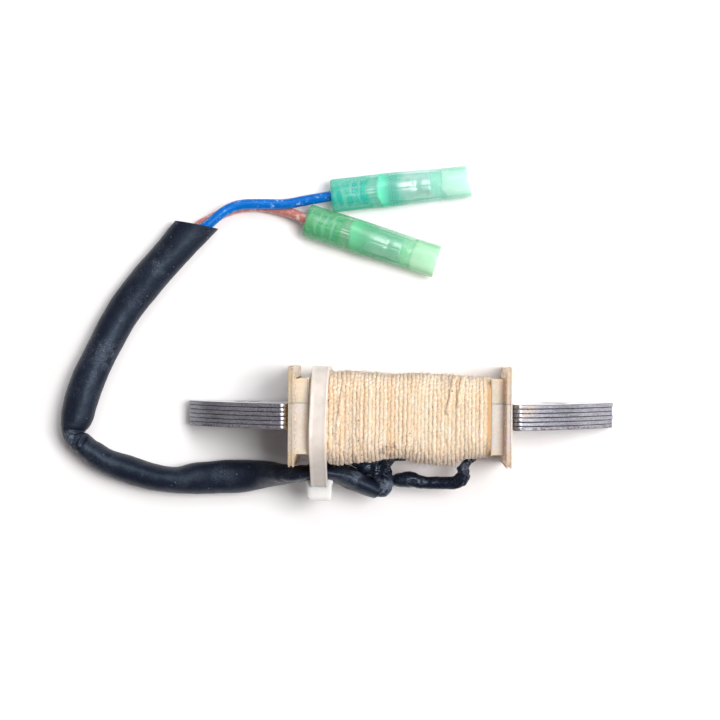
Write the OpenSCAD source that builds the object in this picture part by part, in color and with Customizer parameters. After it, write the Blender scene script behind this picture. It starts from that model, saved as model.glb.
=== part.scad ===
// Magneto ignition source coil: a straight laminated core with two arched pole
// ears, a split bobbin wound with copper and bound with thread, and two leads
// that run through a soft sleeve to insulated bullet sockets.
// Millimetres. X runs along the core, Y across the stack of sheets, and Z points
// from the resting side of the bobbin to the pole faces.
// The origin is midway between the two mounting holes, in the middle of the stack.

/* [Core] */
// Thickness of one steel sheet
sheet_t = 0.82; // [0.5:0.01:0.84]
// Distance from one sheet to the next, with the varnish between them
sheet_pitch = 0.85; // [0.85:0.01:0.9]
// Half of the core's length
core_half_l = 43.2; // [40:0.1:46]
// Radius of the arched pole faces
pole_r = 50; // [49:0.5:56]
// Height of the pole circle's highest point above the mounting holes
pole_peak_z = 20.5; // [19:0.1:22]
// Distance from the middle to each ear's inner edge
ear_inner_x = 22.05; // [21.9:0.05:24]
// Rounding of the pole tips beside the bobbin
pole_tip_r = 1.2; // [0.5:0.1:2]
// How far the ears reach below the mounting holes
ear_drop = 7.6; // [5:0.1:8]
// Height of the limb that passes through the bobbin
limb_h = 9; // [6:0.1:9.2]
// Diameter of the mounting holes
hole_d = 5.5; // [3:0.1:7]
// Distance between the mounting holes
hole_spacing = 62; // [56:0.5:70]

/* [Bobbin] */
// Height of the bobbin's middle above the mounting holes
bobbin_z = 4.1; // [3.9:0.1:4.6]
// Half of the bobbin's length
bobbin_half_l = 21.8; // [21:0.05:21.8]
// Width of the end flanges, across the sheets
flange_w = 19.8; // [19:0.1:22]
// Height of the end flanges
flange_h = 24.2; // [23:0.1:24.2]
// Thickness of the end flanges
flange_t = 1.2; // [0.8:0.1:2]
// Corner radius of the end flanges
flange_r = 1; // [0.5:0.1:3]
// Width of the shoulder inside each flange
neck_w = 15.3; // [12:0.1:16]
// Height of the shoulder inside each flange
neck_h = 19; // [16:0.1:20]
// Length of the shoulder inside each flange
neck_l = 2.9; // [1:0.1:4]
// Wall of the tube round the limb
tube_wall = 1.2; // [0.8:0.1:1.5]
// Seam between the two halves of the bobbin
seam = 0.1; // [0.05:0.01:0.2]

/* [Winding] */
// Depth of the copper winding
copper_t = 3.7; // [2:0.1:3.8]
// Thickness of the insulating tape
tape_t = 0.15; // [0.1:0.05:0.2]
// Thickness of the thread binding
thread_t = 1.1; // [0.8:0.1:1.1]
// Radius of the lead tails that leave the winding
lead_r = 0.35; // [0.2:0.05:0.4]

/* [Cable tie] */
// Middle of the tie along the core
tie_x = -15.9; // [-16:0.1:-15]
// Width of the strap
strap_w = 3.5; // [2.5:0.1:3.6]
// Thickness of the strap
strap_t = 1; // [0.8:0.1:1.1]
// Width, depth and height of the locking head
head_size = [5.5, 4, 5]; // [2:0.1:8]

/* [Leads] */
// Outer radius of a lead
wire_r = 1.05; // [0.8:0.05:1.05]
// Radius of a lead's stranded conductor
strand_r = 0.55; // [0.3:0.05:0.6]
// Wall of the long sleeve
sleeve_wall = 0.45; // [0.3:0.05:0.45]
// Wall of the small sleeves over the joints
joint_wall = 0.25; // [0.15:0.05:0.3]

/* [Connectors] */
// Length of a connector's insulating sleeve
cover_l = 28; // [26:0.5:32]
// Outer radius of a connector's insulating sleeve
cover_r = 3.1; // [3:0.05:3.1]
// Inner radius of the bullet socket
socket_r = 1.98; // [1.8:0.01:2.1]
// Length of the bullet socket's round wall
socket_l = 7.8; // [6:0.1:8]

/* [Hidden] */
$fn = 48;
sheet_count = 6;

stack_t = sheet_count * sheet_pitch - (sheet_pitch - sheet_t);
pole_centre_z = pole_peak_z - pole_r;
// Clearance between the limb and the bobbin's tube
limb_gap = 0.1;
tube_hole = [stack_t + 2 * limb_gap, limb_h + 2 * limb_gap];
tube_size = [tube_hole.x + 2 * tube_wall, tube_hole.y + 2 * tube_wall];
tube_r = 0.5;
winding_half_l = bobbin_half_l - flange_t - neck_l;
binding_t = copper_t + tape_t + thread_t;
binding_side_y = -(tube_size.x / 2 + binding_t);
cut = 1;

// Where the two lead tails leave the winding's front side, as X and Z
blue_exit = [13.6, 2.3];
brown_exit = [-2.9, 3];

// Stations of the long sleeve from its mouth beside the winding to its cut end:
// X, Y and Z of the middle, half its width across, half its height
sleeve_route = [
    [-4.5, -15, 0, 1.9, 4], [-8, -13.8, 1, 1.9, 4], [-11.5, -12.4, 2, 1.8, 4.2],
    [-15, -11.4, 3, 1.6, 4.4], [-18.5, -11.7, 3, 1.6, 4.4], [-21.5, -12.2, 1.5, 1.65, 4.2],
    [-24.5, -12.3, -1, 2.2, 3.8], [-28, -12.5, -3.5, 2.9, 3.6], [-32, -12.9, -4.5, 3.3, 3.4],
    [-37, -13.2, -4.6, 3.4, 3.4], [-42, -13.5, -4.6, 3.2, 3.4], [-46, -13.8, -4.5, 2.7, 3.5],
    [-51, -13.1, -4.5, 2.7, 3.5], [-55.5, -11.8, -4.6, 2.8, 3.4], [-60, -10.2, -4.7, 2.6, 3.3],
    [-63.5, -7.8, -4.8, 2.3, 3.2], [-66, -5.5, -4.9, 1.8, 3.1], [-67.2, -2.5, -4.9, 2.3, 3.1],
    [-66.5, 0, -4.8, 3, 3.2], [-65.5, 2.5, -4.8, 3.4, 3.2], [-64, 6.5, -4.8, 3.5, 3.2],
    [-61.5, 12, -4.8, 3.4, 3.2], [-59, 17, -4.8, 3.4, 3.2], [-56, 22, -4.8, 3.5, 3.2],
    [-52.5, 26.5, -4.8, 3.6, 3.2], [-49.5, 30, -4.8, 3.6, 3.1], [-46, 34, -4.9, 3.7, 3],
    [-42, 38.5, -5, 3.9, 2.9]];
// The two leads lie one above the other at each end of the sleeve, and change
// places along these stations of it
leads_gap = 1.15;
swap_first = 7;
swap_last = 12;

// Where each lead comes out of its joint sleeve and meets the long sleeve
blue_start = [[2.5, -13.3, 0], [0.8, -13.1, -0.2], [-1.2, -13.3, -0.7], [-3, -14.3, -1.4]];
brown_start = [[-3.3, -14.5, 1.5], [-4, -15.1, 1.4]];
// Where each lead runs from the sleeve's cut end to its connector
blue_free = [[-39.5, 39.2, -4.1], [-36.7, 41.1, -4.4], [-33, 42.7, -4.6], [-28.5, 42.8, -4.7],
             [-24, 42.8, -4.8], [-19.5, 43.6, -4.9]];
brown_free = [[-40, 39.8, -6.4], [-37, 41.8, -6.7], [-33.3, 42.5, -6.9], [-30, 42, -6.9],
              [-27, 41.8, -6.7], [-25, 41.6, -6.4], [-22, 40.8, -5.6]];

// Stations of the two small sleeves over the soldered joints
blue_joint_route = [
    [-1.2, -13.3, -0.6, 1.5, 1.6], [0.8, -13, -0.1, 1.65, 1.6], [2.8, -13.3, 0, 1.45, 1.45],
    [5, -13.8, 0, 1.2, 1.25], [8, -14, 0, 1.15, 1.2], [10.5, -13.9, 0.2, 1.2, 1.2],
    [12, -13.2, 0.7, 1.4, 1.2], [12.5, -11.8, 1.2, 1.5, 1.2], [13, -10.4, 1.8, 1.2, 1.1],
    [13.6, -8.95, 2.3, 0.9, 0.9]];
brown_joint_route = [
    [-4.2, -15.1, 1.5, 1.4, 1.4], [-3.4, -14.7, 1.5, 1.4, 1.4], [-2.9, -13.6, 1.7, 1.4, 1.4],
    [-2.8, -12.2, 2.1, 1.4, 1.3], [-2.8, -10.6, 2.6, 1.3, 1.2], [-2.9, -8.95, 3, 1.1, 1.1]];
blue_joint_core = [[3, -13.4, 0], [4, -13.6, 0], [6, -13.9, 0], [7.5, -14, 0]];
brown_joint_core = [[-3, -13.9, 1.6], [-2.85, -13, 1.9], [-2.8, -12, 2.2], [-2.8, -11, 2.5]];
solder_r = 0.75;

// Start and heading of each connector, where its lead enters
blue_connector = [-14.4, 44.5, -4.9];
blue_heading = 6.2;
brown_connector = [-19.5, 39.6, -4.9];
brown_heading = -17.6;

// Bores of the insulating sleeve, from the lead's end to the mouth
cover_rear_bore = [1.9, 7.5];
cover_middle_bore = [2.5, 15];
cover_mouth_r = 2.75;
// Crimps of the bullet socket: start, length, inner radius, outer radius
insulation_crimp = [2, 3, 1.08, 1.5];
conductor_crimp = [6, 3.5, 0.6, 1.1];
socket_wall = 0.42;
socket_start = 12.5;
socket_slit = 0.35;
// The strip that joins the crimps and the socket: half its width, thickness,
// and the length of each upright step in it
strip_half_w = 0.6;
strip_t = 0.4;
strip_step = 0.6;

function unit(v) = v / norm(v);
function middle(station) = [station[0], station[1], station[2]];
function step(route, i) = unit(middle(route[i + 1]) - middle(route[i]));
function heading(route, i) =
    let (last = len(route) - 1)
    unit(step(route, max(i - 1, 0)) + step(route, min(i, last - 1)));
function ring(route, i, wall, sides) =
    let (along = heading(route, i), side = unit(cross([0, 0, 1], along)), up = cross(along, side))
    [for (k = [0:sides - 1])
        let (a = 360 * (k + 0.5) / sides)
        middle(route[i]) + side * (route[i][3] - wall) * cos(a) + up * (route[i][4] - wall) * sin(a)];
function rings(route, wall, sides) =
    [for (i = [0:len(route) - 1], p = ring(route, i, wall, sides)) p];
function round_stations(route, r) = [for (p = route) [p.x, p.y, p.z, r, r]];

// Triangles between ring i and the next one, and between two rings of an end
function band(i, sides, first) =
    [for (k = [0:sides - 1])
        let (a = first + i * sides + k, b = first + i * sides + (k + 1) % sides)
        each [[a, a + sides, b], [b, a + sides, b + sides]]];
function lip(outer, inner, sides) =
    [for (k = [0:sides - 1])
        let (n = (k + 1) % sides)
        each [[outer + k, outer + n, inner + n], [outer + k, inner + n, inner + k]]];
function flipped(faces) = [for (f = faces) [f[0], f[2], f[1]]];

// Angle of the line between the two leads at a station of the long sleeve
function leads_angle(i) =
    let (turn = min(max((i - swap_first) / (swap_last - swap_first), 0), 1))
    -90 + 180 * turn;
function carried(sign, i) =
    let (along = heading(sleeve_route, i), side = unit(cross([0, 0, 1], along)),
         up = cross(along, side), a = leads_angle(i))
    middle(sleeve_route[i]) + sign * leads_gap * (side * cos(a) + up * sin(a));
function carried_route(sign) = [for (i = [0:len(sleeve_route) - 1]) carried(sign, i)];
function on_axis(start, angle, s) = start + s * [cos(angle), sin(angle), 0];
function plugged(start, angle, far) = [for (s = [0, far / 2, far]) on_axis(start, angle, s)];

crimp_end = insulation_crimp[0] + insulation_crimp[1];
strand_end = conductor_crimp[0] + conductor_crimp[1];
blue_lead = concat(blue_start, carried_route(1), blue_free);
brown_lead = concat(brown_start, carried_route(-1), brown_free);
blue_route = concat(blue_lead, plugged(blue_connector, blue_heading, crimp_end));
brown_route = concat(brown_lead, plugged(brown_connector, brown_heading, crimp_end));
blue_strands = concat(blue_lead, plugged(blue_connector, blue_heading, strand_end));
brown_strands = concat(brown_lead, plugged(brown_connector, brown_heading, strand_end));

module swept_rod(route, sides) {
    count = len(route);
    cap = [for (k = [0:sides - 1]) k];
    end_cap = [for (k = [sides - 1:-1:0]) (count - 1) * sides + k];
    polyhedron(
        points = rings(route, 0, sides),
        faces = concat([cap, end_cap], [for (i = [0:count - 2]) each band(i, sides, 0)]));
}

module swept_tube(route, wall, sides) {
    count = len(route);
    inner = count * sides;
    last = (count - 1) * sides;
    polyhedron(
        points = concat(rings(route, 0, sides), rings(route, wall, sides)),
        faces = concat(
            [for (i = [0:count - 2]) each band(i, sides, 0)],
            [for (i = [0:count - 2]) each flipped(band(i, sides, inner))],
            lip(0, inner, sides),
            flipped(lip(last, inner + last, sides))));
}

module rounded_rect(width, height, r) {
    square([width - 2 * r, height], center = true);
    square([width, height - 2 * r], center = true);
    for (x = [-1, 1], y = [-1, 1]) {
        translate([x * (width / 2 - r), y * (height / 2 - r)]) circle(r = r);
    }
}

// Extrudes a section drawn across the core, with its own X as Y and its own Y as Z
module along_core(from_x, to_x) {
    translate([from_x, 0, bobbin_z]) rotate([90, 0, 90]) linear_extrude(to_x - from_x) children();
}

// One ear: the space under the pole circle, with its inner tip rounded
module ear_outline() {
    tip_x = ear_inner_x + pole_tip_r;
    tip_z = pole_centre_z + sqrt(pow(pole_r - pole_tip_r, 2) - pow(tip_x, 2));
    touch = [0, pole_centre_z] + pole_r * unit([tip_x, tip_z - pole_centre_z]);
    intersection() {
        translate([0, pole_centre_z]) circle(r = pole_r, $fn = 180);
        translate([touch.x, -ear_drop]) square([core_half_l - touch.x, ear_drop + pole_peak_z]);
    }
    polygon([[tip_x, -ear_drop], [touch.x, -ear_drop], touch, [tip_x, tip_z]]);
    translate([ear_inner_x, -ear_drop]) square([pole_tip_r, tip_z + ear_drop]);
    translate([tip_x, tip_z]) circle(r = pole_tip_r);
}

module lamination(i) {
    color("slategray")
    translate([0, (i - 1) * sheet_pitch + sheet_t - stack_t / 2, 0])
    rotate([90, 0, 0]) linear_extrude(sheet_t) difference() {
        union() {
            translate([0, bobbin_z]) square([2 * ear_inner_x + 1, limb_h], center = true);
            ear_outline();
            mirror([1, 0]) ear_outline();
        }
        for (x = [-1, 1]) {
            translate([x * hole_spacing / 2, 0]) circle(d = hole_d);
        }
    }
}

// The whole bobbin, before it is split along its seam
module bobbin_body() {
    difference() {
        union() {
            along_core(-bobbin_half_l, bobbin_half_l) rounded_rect(tube_size.x, tube_size.y, tube_r);
            for (s = [-1, 1]) {
                neck_x = s * (bobbin_half_l - flange_t - neck_l / 2);
                along_core(neck_x - neck_l / 2, neck_x + neck_l / 2) square([neck_w, neck_h], center = true);
                flange_x = s * (bobbin_half_l - flange_t / 2);
                along_core(flange_x - flange_t / 2, flange_x + flange_t / 2)
                    rounded_rect(flange_w, flange_h, flange_r);
            }
        }
        along_core(-bobbin_half_l - cut, bobbin_half_l + cut) square(tube_hole, center = true);
    }
}

// The front wall and the wall under the poles belong to one half, so the seam
// runs level with one side of the stack on top and the other side below
module bobbin_half() {
    seam_y = tube_hole.x / 2;
    reach = flange_h;
    intersection() {
        bobbin_body();
        along_core(-bobbin_half_l - cut, bobbin_half_l + cut)
            polygon([[-reach, -reach], [-seam_y - seam / 2, -reach], [-seam_y - seam / 2, 0],
                     [seam_y - seam / 2, 0], [seam_y - seam / 2, reach], [-reach, reach]]);
    }
}

module bobbin_front_half() {
    color("wheat") bobbin_half();
}

module bobbin_rear_half() {
    color("wheat") translate([0, 0, 2 * bobbin_z]) rotate([180, 0, 0]) bobbin_half();
}

// One layer of the winding, from depth inner to depth outer outside the tube
module layer(inner, outer) {
    along_core(-winding_half_l, winding_half_l) difference() {
        rounded_rect(tube_size.x + 2 * outer, tube_size.y + 2 * outer, tube_r + outer);
        rounded_rect(tube_size.x + 2 * inner, tube_size.y + 2 * inner, tube_r + inner);
    }
}

// Passages of the two lead tails through the layers over the copper
module lead_passages() {
    for (p = [blue_exit, brown_exit]) {
        translate([p.x, binding_side_y - cut, p.y])
            rotate([-90, 0, 0]) cylinder(r = lead_r + 0.1, h = thread_t + tape_t + cut);
    }
}

module copper_winding() {
    color("sienna") layer(0, copper_t);
}

module insulating_tape() {
    color("khaki") difference() {
        layer(copper_t, copper_t + tape_t);
        lead_passages();
    }
}

module thread_binding() {
    color("blanchedalmond") difference() {
        layer(copper_t + tape_t, binding_t);
        lead_passages();
    }
}

// Outline round the winding and the pressed sleeve beside it, at a distance from both
module tie_outline(distance) {
    corner = tube_r + binding_t;
    sleeve_bend_y = -11.5;
    sleeve_bends_z = [-3.9, 1.7];
    sleeve_bend_r = 1.7;
    hull() {
        rounded_rect(tube_size.x + 2 * (binding_t + distance), tube_size.y + 2 * (binding_t + distance),
                     corner + distance);
        for (z = sleeve_bends_z) {
            translate([sleeve_bend_y, z]) circle(r = sleeve_bend_r + distance);
        }
    }
}

module cable_tie() {
    head_y = -13.2;
    head_low_z = 0.4;
    root_gap = 0.05;
    tail_l = 1;
    color("ivory") union() {
        along_core(tie_x - strap_w / 2, tie_x + strap_w / 2) difference() {
            tie_outline(root_gap + strap_t);
            tie_outline(root_gap);
        }
        translate([tie_x - head_size.x / 2, head_y - head_size.y, head_low_z])
            cube([head_size.x, head_size.y, head_size.z]);
        // Trimmed end of the strap, below the head
        translate([tie_x - strap_w / 2, head_y - (head_size.y + strap_t) / 2, head_low_z - tail_l])
            cube([strap_w, strap_t, tail_l + root_gap]);
    }
}

module long_sleeve() {
    color("darkslategray") swept_tube(sleeve_route, sleeve_wall, 12);
}

module blue_joint_sleeve() {
    color("darkslategray") swept_tube(blue_joint_route, joint_wall, 12);
}

module brown_joint_sleeve() {
    color("darkslategray") swept_tube(brown_joint_route, joint_wall, 12);
}

module blue_solder_joint() {
    color("silver") swept_rod(round_stations(blue_joint_core, solder_r), 8);
}

module brown_solder_joint() {
    color("silver") swept_rod(round_stations(brown_joint_core, solder_r), 8);
}

// A lead tail runs from the copper to the solder, bending inside its sleeve
module blue_lead_tail() {
    tail = [[7.5, -14, 0], [10.5, -13.9, 0.2], [12, -13.2, 0.7], [12.5, -11.8, 1.2], [13, -10.4, 1.8],
            [blue_exit.x, -8.95, blue_exit.y], [blue_exit.x, binding_side_y + thread_t + tape_t, blue_exit.y]];
    color("peru") swept_rod(round_stations(tail, lead_r), 8);
}

module brown_lead_tail() {
    tail = [[-2.8, -11, 2.5], [brown_exit.x, -8.95, brown_exit.y],
            [brown_exit.x, binding_side_y + thread_t + tape_t, brown_exit.y]];
    color("peru") swept_rod(round_stations(tail, lead_r), 8);
}

module blue_wire_insulation() {
    color("royalblue") swept_tube(round_stations(blue_route, wire_r), wire_r - strand_r, 8);
}

module brown_wire_insulation() {
    color("rosybrown") swept_tube(round_stations(brown_route, wire_r), wire_r - strand_r, 8);
}

module blue_wire_conductor() {
    color("orange") swept_rod(round_stations(blue_strands, strand_r), 8);
}

module brown_wire_conductor() {
    color("orange") swept_rod(round_stations(brown_strands, strand_r), 8);
}

module connector_frame(start, angle) {
    translate(start) rotate([0, 0, angle]) children();
}

module bore_x(from_x, length, r) {
    translate([from_x, 0, 0]) rotate([0, 90, 0]) cylinder(r = r, h = length);
}

module connector_cover() {
    rear = cover_rear_bore[1];
    shoulder = rear + cover_middle_bore[1];
    difference() {
        bore_x(0, cover_l, cover_r);
        bore_x(-cut, rear + 2 * cut, cover_rear_bore[0]);
        bore_x(rear, cover_middle_bore[1], cover_middle_bore[0]);
        bore_x(shoulder - cut, cover_l - shoulder + 2 * cut, cover_middle_bore[0]);
        bore_x(shoulder, cover_l - shoulder + cut, cover_mouth_r);
    }
}

// A crimped ring: start, length, inner radius and outer radius
module crimp(ring) {
    difference() {
        bore_x(ring[0], ring[1], ring[3]);
        bore_x(ring[0] - cut, ring[1] + 2 * cut, ring[2]);
    }
}

// The socket's round wall with its seam on top, two crimps and the strip under them
module bullet_socket() {
    socket_outer_r = socket_r + socket_wall;
    difference() {
        crimp([socket_start, socket_l, socket_r, socket_outer_r]);
        translate([socket_start - cut, -socket_slit / 2, 0])
            cube([socket_l + 2 * cut, socket_slit, socket_outer_r + cut]);
    }
    crimp(insulation_crimp);
    crimp(conductor_crimp);
    strip_z = -insulation_crimp[3];
    socket_z = -socket_outer_r;
    crimp_z = -(conductor_crimp[2] + conductor_crimp[3]) / 2;
    strip(crimp_end - strip_step, conductor_crimp[0] + strip_step, strip_z, strip_z + strip_t);
    strip(conductor_crimp[0], conductor_crimp[0] + strip_step, strip_z, crimp_z);
    strip(strand_end - strip_step, strand_end, socket_z, crimp_z);
    strip(strand_end - strip_step, socket_start + strip_step, socket_z, socket_z + strip_t);
}

module strip(from_x, to_x, from_z, to_z) {
    translate([from_x, -strip_half_w, from_z]) cube([to_x - from_x, 2 * strip_half_w, to_z - from_z]);
}

module blue_connector_cover() {
    color("mediumaquamarine") connector_frame(blue_connector, blue_heading) connector_cover();
}

module brown_connector_cover() {
    color("mediumseagreen") connector_frame(brown_connector, brown_heading) connector_cover();
}

module blue_bullet_socket() {
    color("gainsboro") connector_frame(blue_connector, blue_heading) bullet_socket();
}

module brown_bullet_socket() {
    color("gainsboro") connector_frame(brown_connector, brown_heading) bullet_socket();
}

for (i = [1:sheet_count]) {
    lamination(i);
}
bobbin_front_half();
bobbin_rear_half();
copper_winding();
insulating_tape();
thread_binding();
cable_tie();
long_sleeve();
blue_joint_sleeve();
brown_joint_sleeve();
blue_solder_joint();
brown_solder_joint();
blue_lead_tail();
brown_lead_tail();
blue_wire_insulation();
blue_wire_conductor();
brown_wire_insulation();
brown_wire_conductor();
blue_connector_cover();
brown_connector_cover();
blue_bullet_socket();
brown_bullet_socket();
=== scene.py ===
"""Ignition source coil: its looks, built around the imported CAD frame.

Metres, in the frame's own axes: X along the core, Y across the stack of sheets,
and Z up from the surface that the coil lies on.
"""

import math
import random

import bmesh
import bpy
from mathutils import Euler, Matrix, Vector, noise


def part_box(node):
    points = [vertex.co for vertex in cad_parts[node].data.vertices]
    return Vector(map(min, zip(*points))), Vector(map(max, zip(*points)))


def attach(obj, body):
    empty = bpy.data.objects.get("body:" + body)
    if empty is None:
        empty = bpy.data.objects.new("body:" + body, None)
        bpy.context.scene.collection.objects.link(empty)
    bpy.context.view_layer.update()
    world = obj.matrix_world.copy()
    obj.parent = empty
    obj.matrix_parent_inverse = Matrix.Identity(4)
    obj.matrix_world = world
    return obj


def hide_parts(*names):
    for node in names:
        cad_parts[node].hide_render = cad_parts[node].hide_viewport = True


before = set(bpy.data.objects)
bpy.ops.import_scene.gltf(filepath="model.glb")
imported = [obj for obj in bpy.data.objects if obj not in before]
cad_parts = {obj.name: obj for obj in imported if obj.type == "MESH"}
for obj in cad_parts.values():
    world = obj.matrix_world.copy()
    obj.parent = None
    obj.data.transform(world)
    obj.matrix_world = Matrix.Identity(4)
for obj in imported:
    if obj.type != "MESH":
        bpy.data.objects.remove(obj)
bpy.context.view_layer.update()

MM = 0.001
TAU = 2 * math.pi
# The stack of sheets in millimetres, as the materials count it
PITCH = (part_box("lamination_2")[0].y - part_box("lamination_1")[0].y) / MM
GAP = PITCH - (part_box("lamination_1")[1].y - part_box("lamination_1")[0].y) / MM
STACK_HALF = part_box("lamination_6")[1].y / MM
TABLE_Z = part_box("bobbin_front_half")[0].z
Z_AXIS = Vector((0, 0, 1))


def mm(rows):
    """Rows of millimetres as rows of metres."""
    return [[value * MM for value in row] for row in rows]


# ---------------------------------------------------------------- camera, light and floor

CAMERA_PLACE = Vector((1.87, 13.69, 392.0)) * MM
CAMERA_TURN = (-0.384, 1.476, 0.300)
CAMERA_LENS = 97
FLOOR_CORNERS = [(-3, -3), (3, -3), (3, 3), (-3, 3)]


def make_camera():
    camera = bpy.data.objects.new("camera", bpy.data.cameras.new("camera"))
    camera.location = CAMERA_PLACE
    camera.rotation_euler = Euler([math.radians(a) for a in CAMERA_TURN])
    camera.data.lens = CAMERA_LENS
    camera.data.sensor_width = 36
    camera.data.clip_start = 0.01
    bpy.context.scene.collection.objects.link(camera)
    bpy.context.scene.camera = camera


def soft_box(name, place, size, power, colour):
    """A square area light that faces the coil."""
    light = bpy.data.lights.new(name, "AREA")
    light.shape = "SQUARE"
    light.size = size
    light.energy = power
    light.color = colour
    lamp = bpy.data.objects.new(name, light)
    lamp.location = place
    lamp.rotation_euler = (-Vector(place)).to_track_quat("-Z", "Y").to_euler()
    bpy.context.scene.collection.objects.link(lamp)


def make_studio():
    soft_box("key", (0.39, 0.11, 0.91), 0.40, 8.4, (1.0, 0.985, 0.97))
    soft_box("back", (0.11, 0.61, 0.79), 0.50, 3.6, (0.98, 0.99, 1.0))
    soft_box("right", (0.87, -0.10, 0.47), 0.80, 4.0, (0.99, 0.99, 1.0))
    soft_box("left_card", (-0.75, 0.05, 0.45), 0.5, 0.25, (0.95, 0.97, 1.0))
    world = bpy.data.worlds.new("studio")
    world.use_nodes = True
    background = world.node_tree.nodes["Background"]
    background.inputs["Color"].default_value = (1.0, 0.88, 0.90, 1)
    background.inputs["Strength"].default_value = 0.17
    bpy.context.scene.world = world
    bpy.context.scene.view_settings.view_transform = "Standard"


# ---------------------------------------------------------------- materials

class Look:
    """A material built from nodes round one Principled shader."""

    def __init__(self, name, **sockets):
        self.material = bpy.data.materials.new(name)
        self.material.use_nodes = True
        self.tree = self.material.node_tree
        self.shader = self.tree.nodes["Principled BSDF"]
        self.colour = None
        for key, value in sockets.items():
            self.set(key.replace("_", " "), value)

    def set(self, socket, value):
        self.put(self.shader.inputs[socket], value)

    def put(self, socket, value):
        if isinstance(value, bpy.types.NodeSocket):
            self.tree.links.new(value, socket)
        elif socket.type == "RGBA" and len(value) == 3:
            socket.default_value = (*value, 1)
        else:
            socket.default_value = value

    def node(self, kind, inputs, output=0, **settings):
        made = self.tree.nodes.new("ShaderNode" + kind)
        for key, value in settings.items():
            setattr(made, key, value)
        for key, value in inputs.items():
            self.put(made.inputs[key], value)
        return made.outputs[output]

    def place(self, scale=(1, 1, 1)):
        """The row-frame place in millimetres, stretched by scale."""
        where = self.node("TexCoord", {}, "Object")
        return self.node("Mapping", {"Vector": where, "Scale": [s / MM for s in scale]})

    def run(self, scale=(1, 1, 1)):
        """Millimetres along and turns around a swept piece, stretched by scale."""
        where = self.node("UVMap", {}, uv_map="run")
        return self.node("Mapping", {"Vector": where, "Scale": scale})

    def near(self, spot, reach):
        """1 at a place in millimetres, fading to 0 at reach from it."""
        away = self.node("VectorMath", {0: self.place(), 1: spot}, "Value", operation="DISTANCE")
        return self.fade(away, reach, 0.4 * reach)

    def part(self, vector, axis):
        return self.node("SeparateXYZ", {0: vector}, axis)

    def noise(self, vector, scale, detail=3.0, rough=0.5, distort=0.0):
        return self.node("TexNoise", {"Vector": vector, "Scale": scale, "Detail": detail,
                                      "Roughness": rough, "Distortion": distort})

    def grain(self, scale, detail, rough=0.5, distort=0.0):
        """Noise with so many lumps to a millimetre along each axis."""
        return self.noise(self.place(scale), 1.0, detail, rough, distort)

    def strokes(self, scale, detail, rough=0.5, distort=0.0):
        """Noise with so many lumps to a millimetre along a swept piece and to a turn."""
        return self.noise(self.run(scale), 1.0, detail, rough, distort)

    def specks(self, scale, edge, core, most=1.0):
        """Scattered spots, from 0 at their edge to most at their core."""
        away = self.node("TexVoronoi", {"Vector": self.place(), "Scale": scale}, "Distance")
        return self.fade(away, edge, core, 0, most)

    def maths(self, operation, a, b=0.0):
        return self.node("Math", {0: a, 1: b}, operation=operation)

    def times(self, a, b):
        return self.maths("MULTIPLY", a, b)

    def plus(self, a, b):
        return self.maths("ADD", a, b)

    def minus(self, a, b):
        return self.maths("SUBTRACT", a, b)

    def most(self, a, b):
        return self.maths("MAXIMUM", a, b)

    def absolute(self, a):
        return self.maths("ABSOLUTE", a)

    def waves(self, value, length):
        """A sine wave of that length, as value grows."""
        return self.maths("SINE", self.times(value, TAU / length))

    def fade(self, value, low, high, out_low=0.0, out_high=1.0):
        """value from low to high, smoothly, as out_low to out_high."""
        return self.node("MapRange", {"Value": value, "From Min": low, "From Max": high,
                                      "To Min": out_low, "To Max": out_high},
                         interpolation_type="SMOOTHSTEP")

    def mix(self, share, a, b, blend="MIX"):
        made = self.tree.nodes.new("ShaderNodeMix")
        made.data_type = "RGBA"
        made.blend_type = blend
        for index, value in ((0, share), (6, a), (7, b)):
            self.put(made.inputs[index], value)
        return made.outputs[2]

    def gloss(self, scale, detail, low, high):
        """Roughness from low to high in patches."""
        patches = self.noise(self.place(), scale, detail)
        self.set("Roughness", self.fade(patches, 0.3, 0.7, low, high))

    def paint(self, share, over, blend="MIX"):
        """Lays a share of another colour over the base colour so far."""
        self.colour = self.mix(share, self.colour, over, blend)
        self.set("Base Color", self.colour)

    def ground(self, share, a, b):
        """Starts the base colour as a mix of two."""
        self.colour = self.mix(share, a, b)
        self.set("Base Color", self.colour)

    def bump(self, height, distance, strength=1.0, under=None):
        inputs = {"Height": height, "Distance": distance, "Strength": strength}
        if under is not None:
            inputs["Normal"] = under
        return self.node("Bump", inputs)

    def relief(self, height, distance, strength=1.0, under=None):
        """Raises the surface by height, on top of what is under it."""
        self.set("Normal", self.bump(height, distance, strength, under))


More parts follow.
